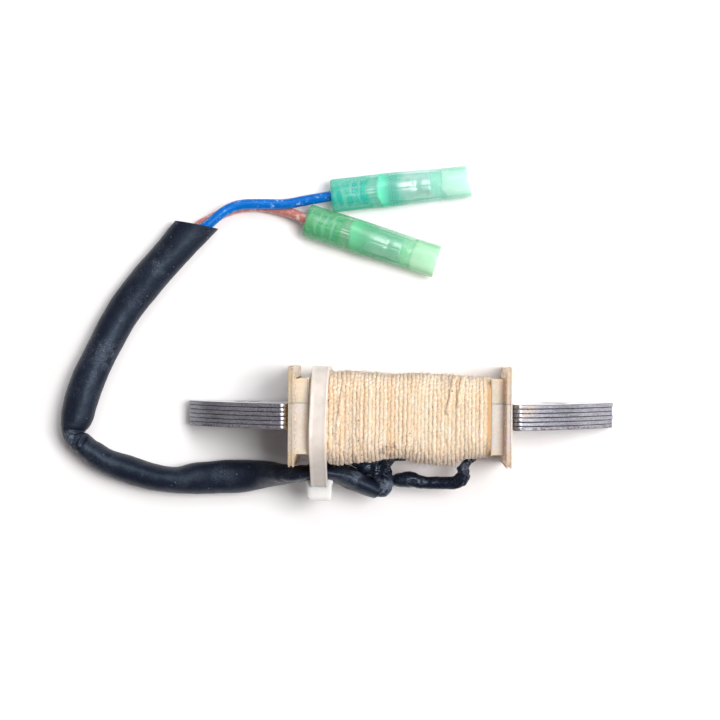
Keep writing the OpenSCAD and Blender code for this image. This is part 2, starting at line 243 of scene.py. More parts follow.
def steel_look():
    """Punched edges of electrical steel: dull, streaked, speckled, and rusty in places.
    The rolled sides of the sheets are smoother and brighter."""
    look = Look("punched_steel", Metallic=1.0)
    place = look.place()
    along, across = look.part(place, "X"), look.part(place, "Y")
    streaks = look.grain((0.35, 7, 0.35), 4)
    grit = look.noise(place, 2.6, 5, 0.6)
    pits = look.noise(place, 4.5, 3, 0.7)
    look.ground(look.fade(streaks, 0.3, 0.7), (0.245, 0.245, 0.275), (0.42, 0.42, 0.485))
    look.paint(look.fade(grit, 0.48, 0.66, 0, 0.7), (0.62, 0.62, 0.68))
    look.paint(look.fade(pits, 0.50, 0.34, 0, 0.6), (0.12, 0.12, 0.13))
    # Painted shade and light for the ears' reflections: the left ear darker at its tip than by the
    # bobbin, the right one in its middle
    shade = look.plus(look.fade(along, -40, -25, 0.80, 1.30), look.fade(along, 0, 1, 0, -0.30))
    middle = look.times(look.fade(along, 25, 29, 0, 0.22), look.fade(along, 37, 33))
    shade = look.minus(shade, middle)
    look.colour = look.node("VectorMath", {0: look.colour, "Scale": shade}, operation="SCALE")
    # Painted shade darkens the gaps between sheets
    level = look.maths("DIVIDE", look.plus(across, STACK_HALF + GAP / 2), PITCH)
    from_gap = look.absolute(look.minus(look.maths("FRACT", level), 0.5))
    gap_shade = look.fade(look.plus(from_gap, look.times(grit, 0.14)), 0.41, 0.52)
    look.paint(look.times(gap_shade, 0.85), (0.03, 0.03, 0.032))
    facing = look.part(look.node("NewGeometry", {}, "Normal"), "Y")
    rolled = look.fade(look.absolute(facing), 0.75, 0.95)
    # Rust gathers at the edge of the outermost sheet on the leads' side
    low_edge = look.fade(across, -1.7, -2.2)
    patches = look.fade(look.grain((0.5, 1.5, 1.5), 4, 0.7), 0.52, 0.58, 0, 0.8)
    rust = look.times(low_edge, patches)
    rust = look.times(rust, look.minus(1.0, look.times(rolled, 0.8)))
    look.paint(rust, (0.075, 0.036, 0.024))
    # Amber by the bobbin: a pale speckled film by the right flange, and a jagged line of painted
    # reflection of the left flange on the ear's face beside it
    film = look.times(look.near((25.0, 2.0, 14.0), 3.4), look.fade(grit, 0.40, 0.60, 0, 0.5))
    jagged = look.plus(along, look.times(grit, 0.8))
    amber = look.times(look.fade(jagged, -22.3, -22.0, 0, 0.8), look.fade(along, 1, 0))
    film = look.most(film, amber)
    look.paint(film, (0.60, 0.42, 0.20))
    sides = look.mix(look.fade(streaks, 0.3, 0.7), (0.50, 0.50, 0.53), (0.64, 0.64, 0.67))
    look.paint(rolled, sides)
    look.set("Metallic", look.minus(1.0, look.most(rust, film)))
    rough = look.fade(look.plus(grit, rust), 0.3, 1.2, 0.34, 0.7)
    look.set("Roughness", look.minus(rough, look.times(rolled, 0.16)))
    lines = look.bump(look.grain((4, 0.6, 4), 3), 0.03 * MM)
    look.relief(grit, 0.035 * MM, look.fade(rolled, 0, 1, 1, 0.2), lines)
    return look.material


def nylon_look(name, middle, rim, inner_half):
    """Aged translucent nylon, amber where it is deep and paler over the steel."""
    look = Look(name, Subsurface_Weight=0.75, Subsurface_Scale=2.5 * MM,
                Subsurface_Radius=(1.0, 0.62, 0.3))
    place = look.place()
    across = look.absolute(look.part(place, "Y"))
    cloud = look.noise(place, 0.35, 3)
    edge = look.fade(look.plus(across, look.times(cloud, 0.8)), inner_half, inner_half + 1.0)
    look.ground(edge, middle, rim)
    look.paint(look.fade(cloud, 0.35, 0.75, 0, 0.24), (0.66, 0.51, 0.32))
    # The flanges greyer than the neck, the left one darker still with painted shade, as the light
    # comes from the right
    flange = look.fade(look.absolute(look.part(place, "X")), 20.3, 20.7)
    right = look.fade(look.part(place, "X"), -1, 1)
    flange_tone_and_shade = look.mix(right, (0.70, 0.66, 0.61), (0.81, 0.79, 0.81))
    look.paint(flange, flange_tone_and_shade, "MULTIPLY")
    look.paint(look.specks(0.5, 0.08, 0.04, 0.5), (0.30, 0.18, 0.08))
    # Deeper amber at the flanges' edges and along the seam, where the light runs in the wall
    from_edge = look.absolute(look.minus(look.absolute(look.part(place, "X")), 21.2))
    from_seam = look.minus(0.6, look.absolute(look.minus(across, 2.6)))
    amber = look.most(look.fade(from_edge, 0.42, 0.60), look.fade(from_seam, 0.30, 0.58))
    on_end = look.times(amber, look.fade(from_edge, 0.75, 0.65, 0.35, 1))
    look.paint(look.times(on_end, 0.34), (0.62, 0.43, 0.21))
    look.gloss(1.5, 4, 0.16, 0.34)
    look.relief(look.noise(place, 0.5, 2), 0.08 * MM, 0.7)
    return look.material


def cotton_look():
    """Waxed cotton: each strand its own shade, twisted plies, darker at the sides."""
    look = Look("cotton_thread", Roughness=0.85, Sheen_Weight=0.25, Sheen_Roughness=0.6,
                Subsurface_Weight=0.4, Subsurface_Scale=0.7 * MM,
                Subsurface_Radius=(1.0, 0.7, 0.4))
    place = look.place()
    strand = look.grain((1.1, 0.05, 0.05), 3, 0.6)
    look.ground(look.fade(strand, 0.35, 0.65), (0.99, 0.77, 0.565), (0.94, 0.66, 0.43))
    pale = look.fade(look.grain((1.4, 0.22, 0.22), 4, 0.6), 0.52, 0.70)
    look.paint(pale, (0.98, 0.84, 0.69))
    along = look.part(place, "X")
    fluff = look.grain((2.8, 2.0, 2.0), 6, 0.75, 0.4)
    frayed = look.fade(along, -4, -12, 0.45, 0.75)
    look.paint(look.times(look.fade(fluff, 0.49, 0.62), frayed), (0.66, 0.42, 0.25))
    look.paint(look.times(look.fade(fluff, 0.47, 0.36), frayed), (1.0, 0.86, 0.70))
    band = look.times(look.fade(along, -2.6, -1.9), look.fade(along, -0.6, -1.2))
    look.paint(look.times(band, 0.55), (0.93, 0.57, 0.33))
    # Painted shade on the last turns at the right end, in the corner against the shoulder
    end_turns_shade = look.fade(along, 16.6, 17.3, 0, 0.8)
    look.paint(end_turns_shade, (0.62, 0.34, 0.12))
    # Darker towards both long sides, with smudged edges
    across = look.absolute(look.minus(look.part(place, "Y"), 0.3))
    smudge = look.noise(place, 0.55, 5, 0.62)
    darkening = look.fade(look.plus(across, look.times(smudge, 5)), 8.8, 12.0, 0, 0.7)
    look.paint(darkening, (0.42, 0.34, 0.26))
    look.paint(look.specks(0.42, 0.085, 0.05), (0.12, 0.08, 0.05))
    stain = look.times(look.near((-1.9, -6.6, 13.2), 2.6), look.fade(smudge, 0.42, 0.62, 0, 0.8))
    look.paint(stain, (0.22, 0.17, 0.15))
    run = look.run((1.0, 2.0, 1.0))
    ply = look.waves(look.plus(look.part(run, "X"), look.part(run, "Y")), 1.0)
    fibre = look.strokes((0.9, 14, 1), 4, 0.6)
    fine = look.bump(look.noise(place, 3.4, 5, 0.75), 0.20 * MM)
    plies = look.bump(ply, 0.09 * MM, 0.7, fine)
    look.relief(fibre, 0.09 * MM, 0.9, plies)
    return look.material


def tie_look():
    """Natural nylon, whiter than the bobbin, greyer towards the head with painted shade, and pale
    on it.
    """
    look = Look("natural_nylon", Subsurface_Weight=0.6, Subsurface_Scale=2.0 * MM,
                Subsurface_Radius=(1.0, 0.85, 0.7), Transmission_Weight=0.12)
    place = look.place()
    cloud = look.noise(place, 0.5, 3)
    across = look.part(place, "Y")
    look.ground(look.fade(cloud, 0.3, 0.7), (0.82, 0.75, 0.69), (0.77, 0.68, 0.61))
    # Painted shade greys the strap where it slants down towards the head
    look.paint(look.fade(across, -7.5, -10.5), (0.80, 0.82, 0.84), "MULTIPLY")
    below_band = look.fade(look.part(place, "Z"), 6.2, 5.8)
    at_head = look.times(look.fade(across, -11.7, -11.9), below_band)
    look.paint(at_head, (0.83, 0.83, 0.81))
    look.gloss(2.0, 4, 0.28, 0.45)
    lines = look.bump(look.grain((6, 0.4, 0.4), 3), 0.03 * MM)
    look.relief(cloud, 0.08 * MM, 1.0, lines)
    return look.material


def sleeve_look(name, dust, shine, worn=()):
    """Soft black vinyl under fine dust. worn: places where it is rubbed grey, each with
    its reach in millimetres and how strongly."""
    look = Look(name, Specular_Tint=(0.62, 0.78, 1.0), Specular_IOR_Level=0.38)
    place = look.place()
    wide = look.noise(place, 0.16, 4, 0.6)
    look.ground(wide, (0.002, 0.0035, 0.009), (0.006, 0.010, 0.023))
    grains = look.noise(place, 4.0, 6, 0.75)
    clouds = look.fade(look.noise(place, 0.13, 3, 0.6), 0.50, 0.68)
    film = look.times(look.fade(grains, 0.46, 0.66), look.plus(clouds, 0.2))
    hairs = look.strokes((0.8, 5, 1), 4, 0.7)
    hairs = look.times(look.fade(hairs, 0.60, 0.66), look.fade(clouds, 0.1, 0.9, 0.15, 1))
    film = look.most(look.times(film, dust), look.times(hairs, dust))
    blotch = look.fade(look.noise(place, 0.6, 4, 0.6), 0.42, 0.56, 0.2, 1.1)
    for spot, reach, most in worn:
        rub = look.times(look.near(spot, reach), look.fade(grains, 0.42, 0.58, 0.10 * most, most))
        rub = look.times(rub, blotch)
        film = look.most(film, rub)
    look.paint(film, (0.15, 0.18, 0.235))
    # Specks of lint
    look.paint(look.specks(0.62, 0.075, 0.035, 0.6), (0.40, 0.44, 0.48))
    fine = look.noise(place, 2.2, 5, 0.6)
    look.set("Roughness", look.fade(look.plus(fine, film), 0.3, 1.0, shine, shine + 0.3))
    grain = look.bump(grains, 0.02 * MM)
    look.relief(wide, 0.35 * MM, 0.6, grain)
    return look.material


def cut_look():
    """The grey cut edge of the black vinyl."""
    look = Look("cut_vinyl", Roughness=0.6)
    place = look.place()
    grain = look.noise(place, 3.0, 4)
    look.ground(grain, (0.05, 0.06, 0.07), (0.16, 0.17, 0.19))
    look.relief(look.noise(place, 4.0, 4), 0.06 * MM)
    return look.material


def wire_look(name, clean, deep, scuff, scuffed, gloss):
    """Glossy vinyl insulation with pale scuffs, stains and drawn lines along it."""
    look = Look(name, Specular_Tint=gloss)
    place = look.place()
    look.ground(look.noise(place, 0.3, 3), clean, deep)
    scrape = look.strokes((0.55, 5, 1), 5, 0.7)
    marks = look.fade(scrape, scuffed, scuffed + 0.10, 0, 0.85)
    look.paint(marks, scuff)
    look.paint(look.specks(0.7, 0.13, 0.05, 0.75), (0.45, 0.22, 0.10))
    look.set("Roughness", look.fade(look.plus(marks, scrape), 0.4, 1.2, 0.26, 0.6))
    drawn = look.bump(look.strokes((0.05, 16, 1), 2), 0.03 * MM)
    look.relief(scrape, 0.06 * MM, 0.7, drawn)
    return look.material


def cover_look(name, bands, inner_wire, scratch, grime):
    """Cloudy see-through vinyl. bands: the distance along it in millimetres and the
    softness of each change, then its colour and how much it hides from there on."""
    look = Look(name, IOR=1.5)
    place, run = look.place(), look.run()
    cloud = look.noise(place, 0.22, 2)
    aside = look.maths("COSINE", look.times(look.part(run, "Y"), TAU))
    aside = look.times(aside, aside)
    along = look.plus(look.part(run, "X"), look.times(cloud, 2.0))
    along = look.minus(along, aside)
    look.colour, hides = bands[0][1:]
    for start, softness, next_colour, next_hides in bands[1:]:
        past = look.fade(along, start + 1.0 - softness, start + 1.0 + softness)
        look.paint(past, next_colour)
        hides = look.node("MapRange", {"Value": past, "To Min": hides, "To Max": next_hides})
    look.paint(look.fade(aside, 0.50, 0.95, 0, 0.7), bands[0][1])
    hides = look.plus(hides, look.fade(aside, 0.55, 0.98, 0, 0.14))
    # Through its rear show the crimped wings as pale bars, and curls of the lead's wire
    at_rear = look.times(look.fade(along, 1.0, 2.2), look.fade(along, 7.8, 6.8))
    at_rear = look.times(at_rear, look.fade(aside, 0.75, 0.35))
    bars = look.waves(look.plus(along, cloud), 1.7)
    bars = look.times(look.fade(bars, -0.2, 0.95, 0, 0.26), at_rear)
    look.paint(bars, bands[-1][2])
    curls = look.strokes((1.3, 4, 1), 2, 0.5, 1.5)
    look.paint(look.times(look.fade(curls, 0.53, 0.62, 0, 0.6), at_rear), inner_wire)
    lines = look.strokes((0.05, 7, 1), 3, 0.6)
    near_mouth = look.fade(look.part(run, "X"), 20, 24, 0.15, 0.6)
    streak = look.times(look.fade(lines, 0.52, 0.70), near_mouth)
    look.paint(streak, scratch)
    darkening = look.fade(look.noise(place, 0.9, 4, 0.7), 0.70, 0.80, 0, 0.4)
    look.paint(darkening, grime)
    look.set("Alpha", look.plus(hides, look.fade(cloud, 0.4, 0.7, 0, 0.08)))
    look.gloss(0.5, 2, 0.14, 0.24)
    look.relief(lines, 0.015 * MM, 1.0, look.bump(cloud, 0.10 * MM, 0.8))
    return look.material


def metal_look(name, bright, dull, smooth, rough):
    """A worn metal part, mottled and lightly scratched."""
    look = Look(name, Metallic=1.0)
    place = look.place()
    mottle = look.noise(place, 0.5, 4, 0.55)
    look.ground(look.fade(mottle, 0.35, 0.65), bright, dull)
    look.gloss(2.5, 4, smooth, rough)
    scratches = look.grain((5, 1, 1), 3)
    look.relief(scratches, 0.008 * MM, 0.7)
    return look.material


def tape_look():
    """Varnished tape with the ribs of the turns under it."""
    look = Look("polyester_tape", Roughness=0.35)
    varnish = look.noise(look.place(), 0.5, 4)
    look.ground(varnish, (0.62, 0.45, 0.18), (0.75, 0.60, 0.32))
    look.relief(look.grain((2, 0.2, 0.2), 3), 0.08 * MM)
    return look.material


def copper_look():
    """Close-wound enamelled wire: one ridge for each turn."""
    look = Look("enamelled_copper", Metallic=1.0, Roughness=0.3, Coat_Weight=0.6)
    place = look.place()
    enamel = look.noise(place, 0.6, 4)
    look.ground(enamel, (0.55, 0.20, 0.07), (0.70, 0.32, 0.13))
    turns = look.waves(look.part(place, "X"), 0.4)
    look.relief(turns, 0.08 * MM)
    return look.material


def floor_look():
    look = Look("pale_floor", Roughness=0.9)
    place = look.place()
    shade = look.noise(place, 0.01, 2)
    look.ground(shade, (0.93, 0.92, 0.925), (0.95, 0.945, 0.95))
    look.relief(look.noise(place, 0.8, 2), 0.01 * MM, 0.5)
    return look.material


# ---------------------------------------------------------------- shapes

def piece(name, mesh, looks, nodes):
    """A finished piece: it rides on the one body and stands for these CAD nodes."""
    made = bpy.data.objects.new(name, mesh)
    bpy.context.scene.collection.objects.link(made)
    for look in looks:
        mesh.materials.append(look)
    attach(made, "root")
    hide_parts(*nodes)
    return made


class Shape:
    """Faces gathered into one mesh, with the distance along and round a sweep."""

    def __init__(self):
        self.points = []
        self.faces = []
        self.runs = []
        self.slots = []

    def wall(self, outer, inner, at=None, slots=None):
        """A hollow piece from its outside and inside rings, at distances along it."""
        along = [s / MM for s in at] if at else [0.0] * len(outer)
        self.skin(outer + inner[::-1], closed=True, along=along + along[::-1], slots=slots)

    def skin(self, rings, closed=False, caps=False, along=None, slots=None):
        """Joins rings of equal length. closed joins the last ring to the first."""
        first, around, count = len(self.points), len(rings[0]), len(rings)
        self.points += [p for ring in rings for p in ring]
        along = along or [0.0] * count
        for i in range(count if closed else count - 1):
            j = (i + 1) % count
            for k in range(around):
                m = (k + 1) % around
                self.faces.append([first + i * around + k, first + i * around + m,
                                   first + j * around + m, first + j * around + k])
                self.runs.append([(along[i], k / around), (along[i], (k + 1) / around),
                                  (along[j], (k + 1) / around), (along[j], k / around)])
                self.slots.append(slots[i] if slots else 0)
        if caps:
            for ring, order in ((0, -1), (count - 1, 1)):
                start = first + ring * around
                self.faces.append(list(range(start, start + around))[::order])
                self.runs.append([(along[ring], 0.0)] * around)
                self.slots.append(slots[0] if slots else 0)

    def mesh(self, name, sharp=50):
        """The mesh, shaded smooth except where it turns by more than sharp degrees."""
        made = bpy.data.meshes.new(name)
        made.from_pydata([tuple(p) for p in self.points], [], self.faces)
        layer = made.uv_layers.new(name="run")
        layer.data.foreach_set("uv", [c for face in self.runs for uv in face for c in uv])
        made.polygons.foreach_set("material_index", self.slots)
        work = bmesh.new()
        work.from_mesh(made)
        bmesh.ops.recalc_face_normals(work, faces=work.faces)
        work.to_mesh(made)
        work.free()
        made.shade_smooth()
        made.set_sharp_from_angle(angle=math.radians(sharp))
        return made


def smooth(stations, steps):
    """A smooth curve through the stations, with that many steps between two."""
    last = len(stations) - 1
    out = []
    for i in range(last):
        ends = stations[max(i - 1, 0)], stations[min(i + 2, last)]
        spans = list(zip(ends[0], stations[i], stations[i + 1], ends[1]))
        for k in range(steps):
            t = k / steps
            out.append([0.5 * (2 * b + (c - a) * t + (2 * a - 5 * b + 4 * c - d) * t * t
                               + (3 * b - a - 3 * c + d) * t ** 3) for a, b, c, d in spans])
    out.append(list(stations[-1]))
    return out


def travelled(points):
    """The distance along a line at each of its points."""
    at = [0.0]
    for a, b in zip(points, points[1:]):
        at.append(at[-1] + (Vector(b[:3]) - Vector(a[:3])).length)
    return at


def axes(points, i):
    """The directions along a line, level across it, and up from it, at point i."""
    last = len(points) - 1
    along = (Vector(points[min(i + 1, last)][:3]) - Vector(points[max(i - 1, 0)][:3])).normalized()
    side = Z_AXIS.cross(along).normalized()
    return along, side, along.cross(side)


def clear_of_table(point, above=0.0):
    """The point, raised if it is less than that far above the table."""
    return Vector((point.x, point.y, max(point.z, TABLE_Z + 0.03 * MM + above)))


def bell(value, centre, reach):
    return math.exp(-((value - centre) / reach) ** 2)


def rumple(point, size):
    """Smooth noise from -1 to 1 whose lumps are about that many metres across."""
    return noise.noise(point / size)


# ---------------------------------------------------------------- cords

# The routes are the CAD's, or within 2 mm of them. Each sleeve's stations: its middle,
# half width and half height
SLEEVE_ROUTE = mm([
    [-5.3, -14.8, 0, 1.95, 4], [-8, -13.55, 1, 2.25, 4], [-11.5, -12.1, 2, 2.15, 4.2],
    [-15, -11.4, 3, 1.6, 4.4], [-18.5, -11.7, 3, 1.6, 4.4], [-21.5, -12.2, 1.5, 1.65, 4.2],
    [-24.5, -12.3, -1, 2.2, 3.8], [-28, -12.5, -3.5, 2.9, 3.6], [-32, -12.9, -4.5, 3.3, 3.4],
    [-37, -13.2, -4.6, 3.4, 3.4], [-42, -13.5, -4.6, 3.2, 3.4], [-46, -13.8, -4.5, 2.7, 3.5],
    [-51, -13.1, -4.5, 2.7, 3.5], [-55.5, -11.8, -4.5, 2.8, 3.4], [-60, -10.2, -4.2, 2.6, 3.3],
    [-63.2, -8.1, -3.9, 2.5, 3.2], [-65.4, -6.3, -3.7, 2.3, 3.3], [-67.0, -4.8, -3.5, 1.9, 3.4],
    [-66.9, -3.2, -3.4, 2.6, 3.3], [-66.1, -0.8, -3.3, 3.3, 3.2], [-65.3, 2.5, -3.3, 3.45, 3.2],
    [-64, 6.5, -3.5, 3.5, 3.2],
    [-61.5, 12, -3.9, 3.4, 3.2], [-59, 17, -4.4, 3.4, 3.2], [-56, 22, -4.8, 3.5, 3.2],
    [-52.5, 26.5, -4.8, 3.6, 3.2], [-49.5, 30, -4.8, 3.6, 3.1], [-46, 34, -4.9, 3.7, 3],
    [-42, 38.5, -5, 3.9, 2.9]])
# How far each lead's middle is from the sleeve's, and the stations between which the
# leads change places
LEAD_OFFSET = 1.15 * MM
SWAP_FIRST, SWAP_LAST = 7, 12
BLUE_START = mm([[2.5, -13.3, 0], [0.8, -13.1, -0.2], [-1.2, -13.3, -0.7], [-3, -14.3, -1.4]])
BROWN_START = mm([[-3.3, -14.5, 1.5], [-4, -15.1, 1.4]])
BLUE_FREE = mm([[-42.6, 36.5, -3.9], [-40, 38.2, -3.9], [-36.3, 41.2, -4.3], [-33, 42.6, -4.6],
                [-28.5, 42.8, -4.7], [-24, 42.8, -4.8], [-19.5, 43.6, -4.9]])
BROWN_FREE = mm([[-42, 38.1, -6.2], [-39.2, 39.75, -6.4], [-36.7, 41.1, -6.7], [-33.3, 42.2, -6.9],
                 [-30, 42.5, -6.9], [-28, 42.3, -6.7], [-25, 41.7, -6.4], [-22, 40.8, -5.6]])
BLUE_JOINT_ROUTE = mm([
    [-0.9, -13.25, -0.4, 1.25, 1.4], [0.5, -13.15, -0.1, 1.55, 1.6], [2.2, -13.1, 0, 1.6, 1.5],
    [4.3, -13.6, 0, 1.32, 1.25], [7, -13.7, 0, 1.28, 1.2], [9.5, -13.72, 0.1, 1.28, 1.2],
    [11.1, -13.6, 0.4, 1.35, 1.2], [12.3, -12.9, 0.8, 1.5, 1.25], [12.75, -11.7, 1.3, 1.35, 1.25],
    [12.7, -10.7, 1.7, 1.2, 1.15], [13.2, -9.8, 2.0, 0.95, 0.95], [14.0, -9.1, 2.2, 0.7, 0.7],
    [15.2, -8.7, 2.2, 0.35, 0.4]])
BLUE_JOINT_FOLDS = [0.03, 0.12, 0.15, 0.18, 0.06, 0.04, 0.12, 0.32, 0.36, 0.34, 0.26, 0.2, 0.15]
BROWN_JOINT_ROUTE = mm([
    [-5.4, -15.2, 1.5, 1.1, 1.3], [-4.3, -15.2, 1.6, 1.4, 1.5], [-3.4, -14.8, 1.7, 1.7, 1.6],
    [-3.0, -13.5, 1.8, 1.7, 1.7], [-3.4, -12.3, 2.2, 1.9, 1.7], [-4.0, -11.3, 2.6, 2.5, 1.7],
    [-4.3, -10.4, 2.8, 3.5, 1.6], [-4.6, -9.5, 3, 5.0, 1.4], [-4.6, -8.5, 3, 5.8, 1.2]])
BROWN_JOINT_FOLDS = [0.05, 0.08, 0.12, 0.35, 0.6, 0.8, 0.9, 0.9, 0.8]

# Where each connector starts and its heading, and how far into it the lead's
# insulation and conductor go
BLUE_PLUG = (Vector((-14.4, 44.5, -4.9)) * MM, math.radians(6.2))
BROWN_PLUG = (Vector((-19.5, 39.6, -4.9)) * MM, math.radians(-17.6))
CRIMP_END, CONDUCTOR_END = 5 * MM, 9.5 * MM
WIRE_R, CONDUCTOR_R = 1.05 * MM, 0.55 * MM
STRAND_TWIST = 9 * MM
# The leads are squeezed to the outer side where the sleeve is pinched
PINCH_FIRST, PINCH_LAST = 15, 17
PINCH_SHIFT = 0.45 * MM
SLEEVE_WALL = 0.45 * MM
JOINT_WALL = 0.25 * MM


def carried(sign):
    """The blue (+1) or brown (-1) lead's points inside the long sleeve."""
    out = []
    for i, station in enumerate(SLEEVE_ROUTE[:-1]):
        # The leads lie one above the other, and change places along the swap
        turn = min(max((i - SWAP_FIRST) / (SWAP_LAST - SWAP_FIRST), 0), 1)
        angle = math.pi * (turn - 0.5)
        _, side, up = axes(SLEEVE_ROUTE, i)
        shift = sign * LEAD_OFFSET * (side * math.cos(angle) + up * math.sin(angle))
        if PINCH_FIRST <= i <= PINCH_LAST:
            shift += side * PINCH_SHIFT
        out.append(list(Vector(station[:3]) + shift))
    return out


def plugged(plug, far):
    """A lead's last points, that far into its connector."""
    start, heading = plug
    axis = Vector((math.cos(heading), math.sin(heading), 0))
    return [list(start + axis * s) for s in (0, far / 2, far)]


def wire(name, stations, radius, strands, look, node):
    """A lead's insulation, or its conductor in so many twisted strands, swept along its
    stations; returns it with its centreline."""
    points = smooth(stations, 5)
    at = travelled(points)
    rings = []
    for i, p in enumerate(points):
        _, side, up = axes(points, i)
        ring = []
        for k in range(20):
            a = TAU * k / 20
            out = side * math.cos(a) + up * math.sin(a)
            r = radius * (1 + 0.02 * rumple(Vector(p) + out * radius, 1.5 * MM))
            if strands:
                r *= 0.93 + 0.07 * math.cos(strands * a + TAU * at[i] / STRAND_TWIST)
            ring.append(clear_of_table(Vector(p) + out * r))
        rings.append(ring)
    shape = Shape()
    shape.skin(rings, caps=True, along=[s / MM for s in at])
    return piece(name, shape.mesh(name), [look], [node]), points


def lead(colour, first, sign, free, plug, look):
    """A lead from its joint to its connector: insulation, its centreline, conductor."""
    stations = first + carried(sign) + free
    name = f"{colour}_wire_"
    skin, line = wire(f"{colour}_lead", stations + plugged(plug, CRIMP_END), WIRE_R, 0, look,
                      name + "insulation")
    strands, _ = wire(f"{colour}_strands", stations + plugged(plug, CONDUCTOR_END), CONDUCTOR_R, 6,
                      STRAND, name + "conductor")
    return skin, line, strands


# The sleeve's pinched fold: where it is and how far it leans, then for each crease its
# distance from there, reach, depth, waves round the sleeve and their phase
KINK_AT = 67.25 * MM
KINK_TILT = -0.4 * MM
CREASES = [(-4.2, 0.9, 0.25, 2, 2.2), (-2.2, 0.40, 0.50, 3, 0.6), (-1.1, 0.28, 0.60, 3, 1.9),
           (-0.3, 0.26, 0.50, 4, 0.2), (0.3, 0.45, 1.40, 1, 3.1), (0.9, 0.24, 0.70, 3, 2.7),
           (1.8, 0.40, 0.35, 2, 1.3)]
TIE_PINCH_AT = 11 * MM


def sleeve_depth(s, angle, point):
    """How far in the sleeve's skin is pressed there, by creases, the tie and wear."""
    depth = 0.0
    for offset, reach, size, count, phase in CREASES:
        crease_at = KINK_AT + offset * MM + KINK_TILT * math.cos(angle)
        depth += size * MM * bell(s, crease_at, reach * MM) * (
            0.45 + 0.55 * math.cos(count * angle + phase + (s - KINK_AT) / (3 * MM)))
    depth = min(depth, (0.5 + 0.65 * max(-math.cos(angle), 0)) * MM)
    near_tie = bell(s, TIE_PINCH_AT + 6 * MM, 3.5 * MM)
    near_tie += 0.6 * bell(s, TIE_PINCH_AT - 5 * MM, 3 * MM)
    depth += near_tie * 0.35 * MM * rumple(point + Vector((7, 3, 1)) * MM, 1.6 * MM)
    depth += 0.16 * MM * rumple(point, 7 * MM) + 0.05 * MM * rumple(point, 2.2 * MM)
    return depth


# Both mouths are cut askew: how far each edge leans along the sleeve for each metre
# across, and how far from the mouth the lean dies away
FAR_MOUTH_LEAN, FAR_MOUTH_REACH = -0.605, 9 * MM
NEAR_MOUTH_LEAN, NEAR_MOUTH_REACH = -0.28, 5 * MM


def long_sleeve():
    """The long sleeve, open at both mouths; returns it with its centreline."""
    points = smooth(SLEEVE_ROUTE, 14)
    at = travelled(points)
    around = 64
    outer, inner = [], []
    for i, p in enumerate(points):
        centre = Vector(p[:3])
        along, side, up = axes(points, i)
        lean = 0.0
        for left, most in ((1 - (at[-1] - at[i]) / FAR_MOUTH_REACH, FAR_MOUTH_LEAN),
                           (1 - at[i] / NEAR_MOUTH_REACH, NEAR_MOUTH_LEAN)):
            left = max(left, 0)
            lean += most * left * left * (3 - 2 * left)
        rows = ([], [])
        for k in range(around):
            a = TAU * k / around
            for row, wall in zip(rows, (0.0, SLEEVE_WALL)):
                x, y = math.cos(a) * (p[3] - wall), math.sin(a) * (p[4] - wall)
                spot = centre + side * x + up * y + along * (lean * x)
                inward = (centre - spot).normalized()
                spot = spot + inward * sleeve_depth(at[i], a, centre + side * x + up * y)
                row.append(clear_of_table(spot, wall))
        outer.append(rows[0])
        inner.append(rows[1])
    shape = Shape()
    # The second material is on the cut faces at the two mouths
    shape.wall(outer, inner, at, ([0] * (len(points) - 1) + [1]) * 2)
    made = piece("long_sleeve_skin", shape.mesh("long_sleeve_skin", 60),
                 [SLEEVE, CUT], ["long_sleeve"])
    return made, [p[:3] for p in points]


def joint_sleeve(colour, stations, crumple, seed):
    """A small sleeve over a soldered joint. crumple: how deep its folds are in
    millimetres, where each station is."""
    points = smooth([[*row, depth * MM] for row, depth in zip(stations, crumple)], 14)
    at = travelled(points)
    around = 56
    shift = Vector((seed, 2 * seed, 3 * seed)) * MM
    outer, inner = [], []
    for i, p in enumerate(points):
        centre = Vector(p[:3])
        _, side, up = axes(points, i)
        rows = ([], [])
        for k in range(around):
            a = TAU * k / around
            skin = centre + side * math.cos(a) * p[3] + up * math.sin(a) * p[4] + shift
            folds = abs(rumple(skin, 2.1 * MM)) * 1.6 + abs(rumple(skin + shift, 0.9 * MM)) * 0.8
            press = max(p[5], 0) * (folds - 0.4) + 0.03 * MM * rumple(skin, 0.8 * MM)
            for row, wall in zip(rows, (0.0, JOINT_WALL)):
                spot = centre + side * math.cos(a) * (p[3] - wall)
                spot += up * math.sin(a) * (p[4] - wall)
                row.append(spot + (centre - spot).normalized() * press)
        outer.append(rows[0])
        inner.append(rows[1])
    shape = Shape()
    shape.wall(outer, inner, at)
    name = f"{colour}_joint_skin"
    return piece(name, shape.mesh(name, 60), [JOINT], [f"{colour}_joint_sleeve"])


# ---------------------------------------------------------------- core

EAR_INNER_X = 22.05 * MM
POLE_R = 50 * MM
POLE_PEAK_Z = 20.5 * MM
TIP_R = 1.2 * MM
EAR_LOW_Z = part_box("lamination_1")[0].z
CORE_HALF_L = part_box("lamination_1")[1].x
LIMB_LOW_Z, LIMB_HIGH_Z = -0.4 * MM, 8.6 * MM
HOLE_X = 31 * MM
HOLE_R = 2.75 * MM
SHEET_BEVEL = 0.13 * MM


def pole_z(x):
    """The height of the pole circle at x."""
    return POLE_PEAK_Z - POLE_R + math.sqrt(POLE_R ** 2 - x * x)


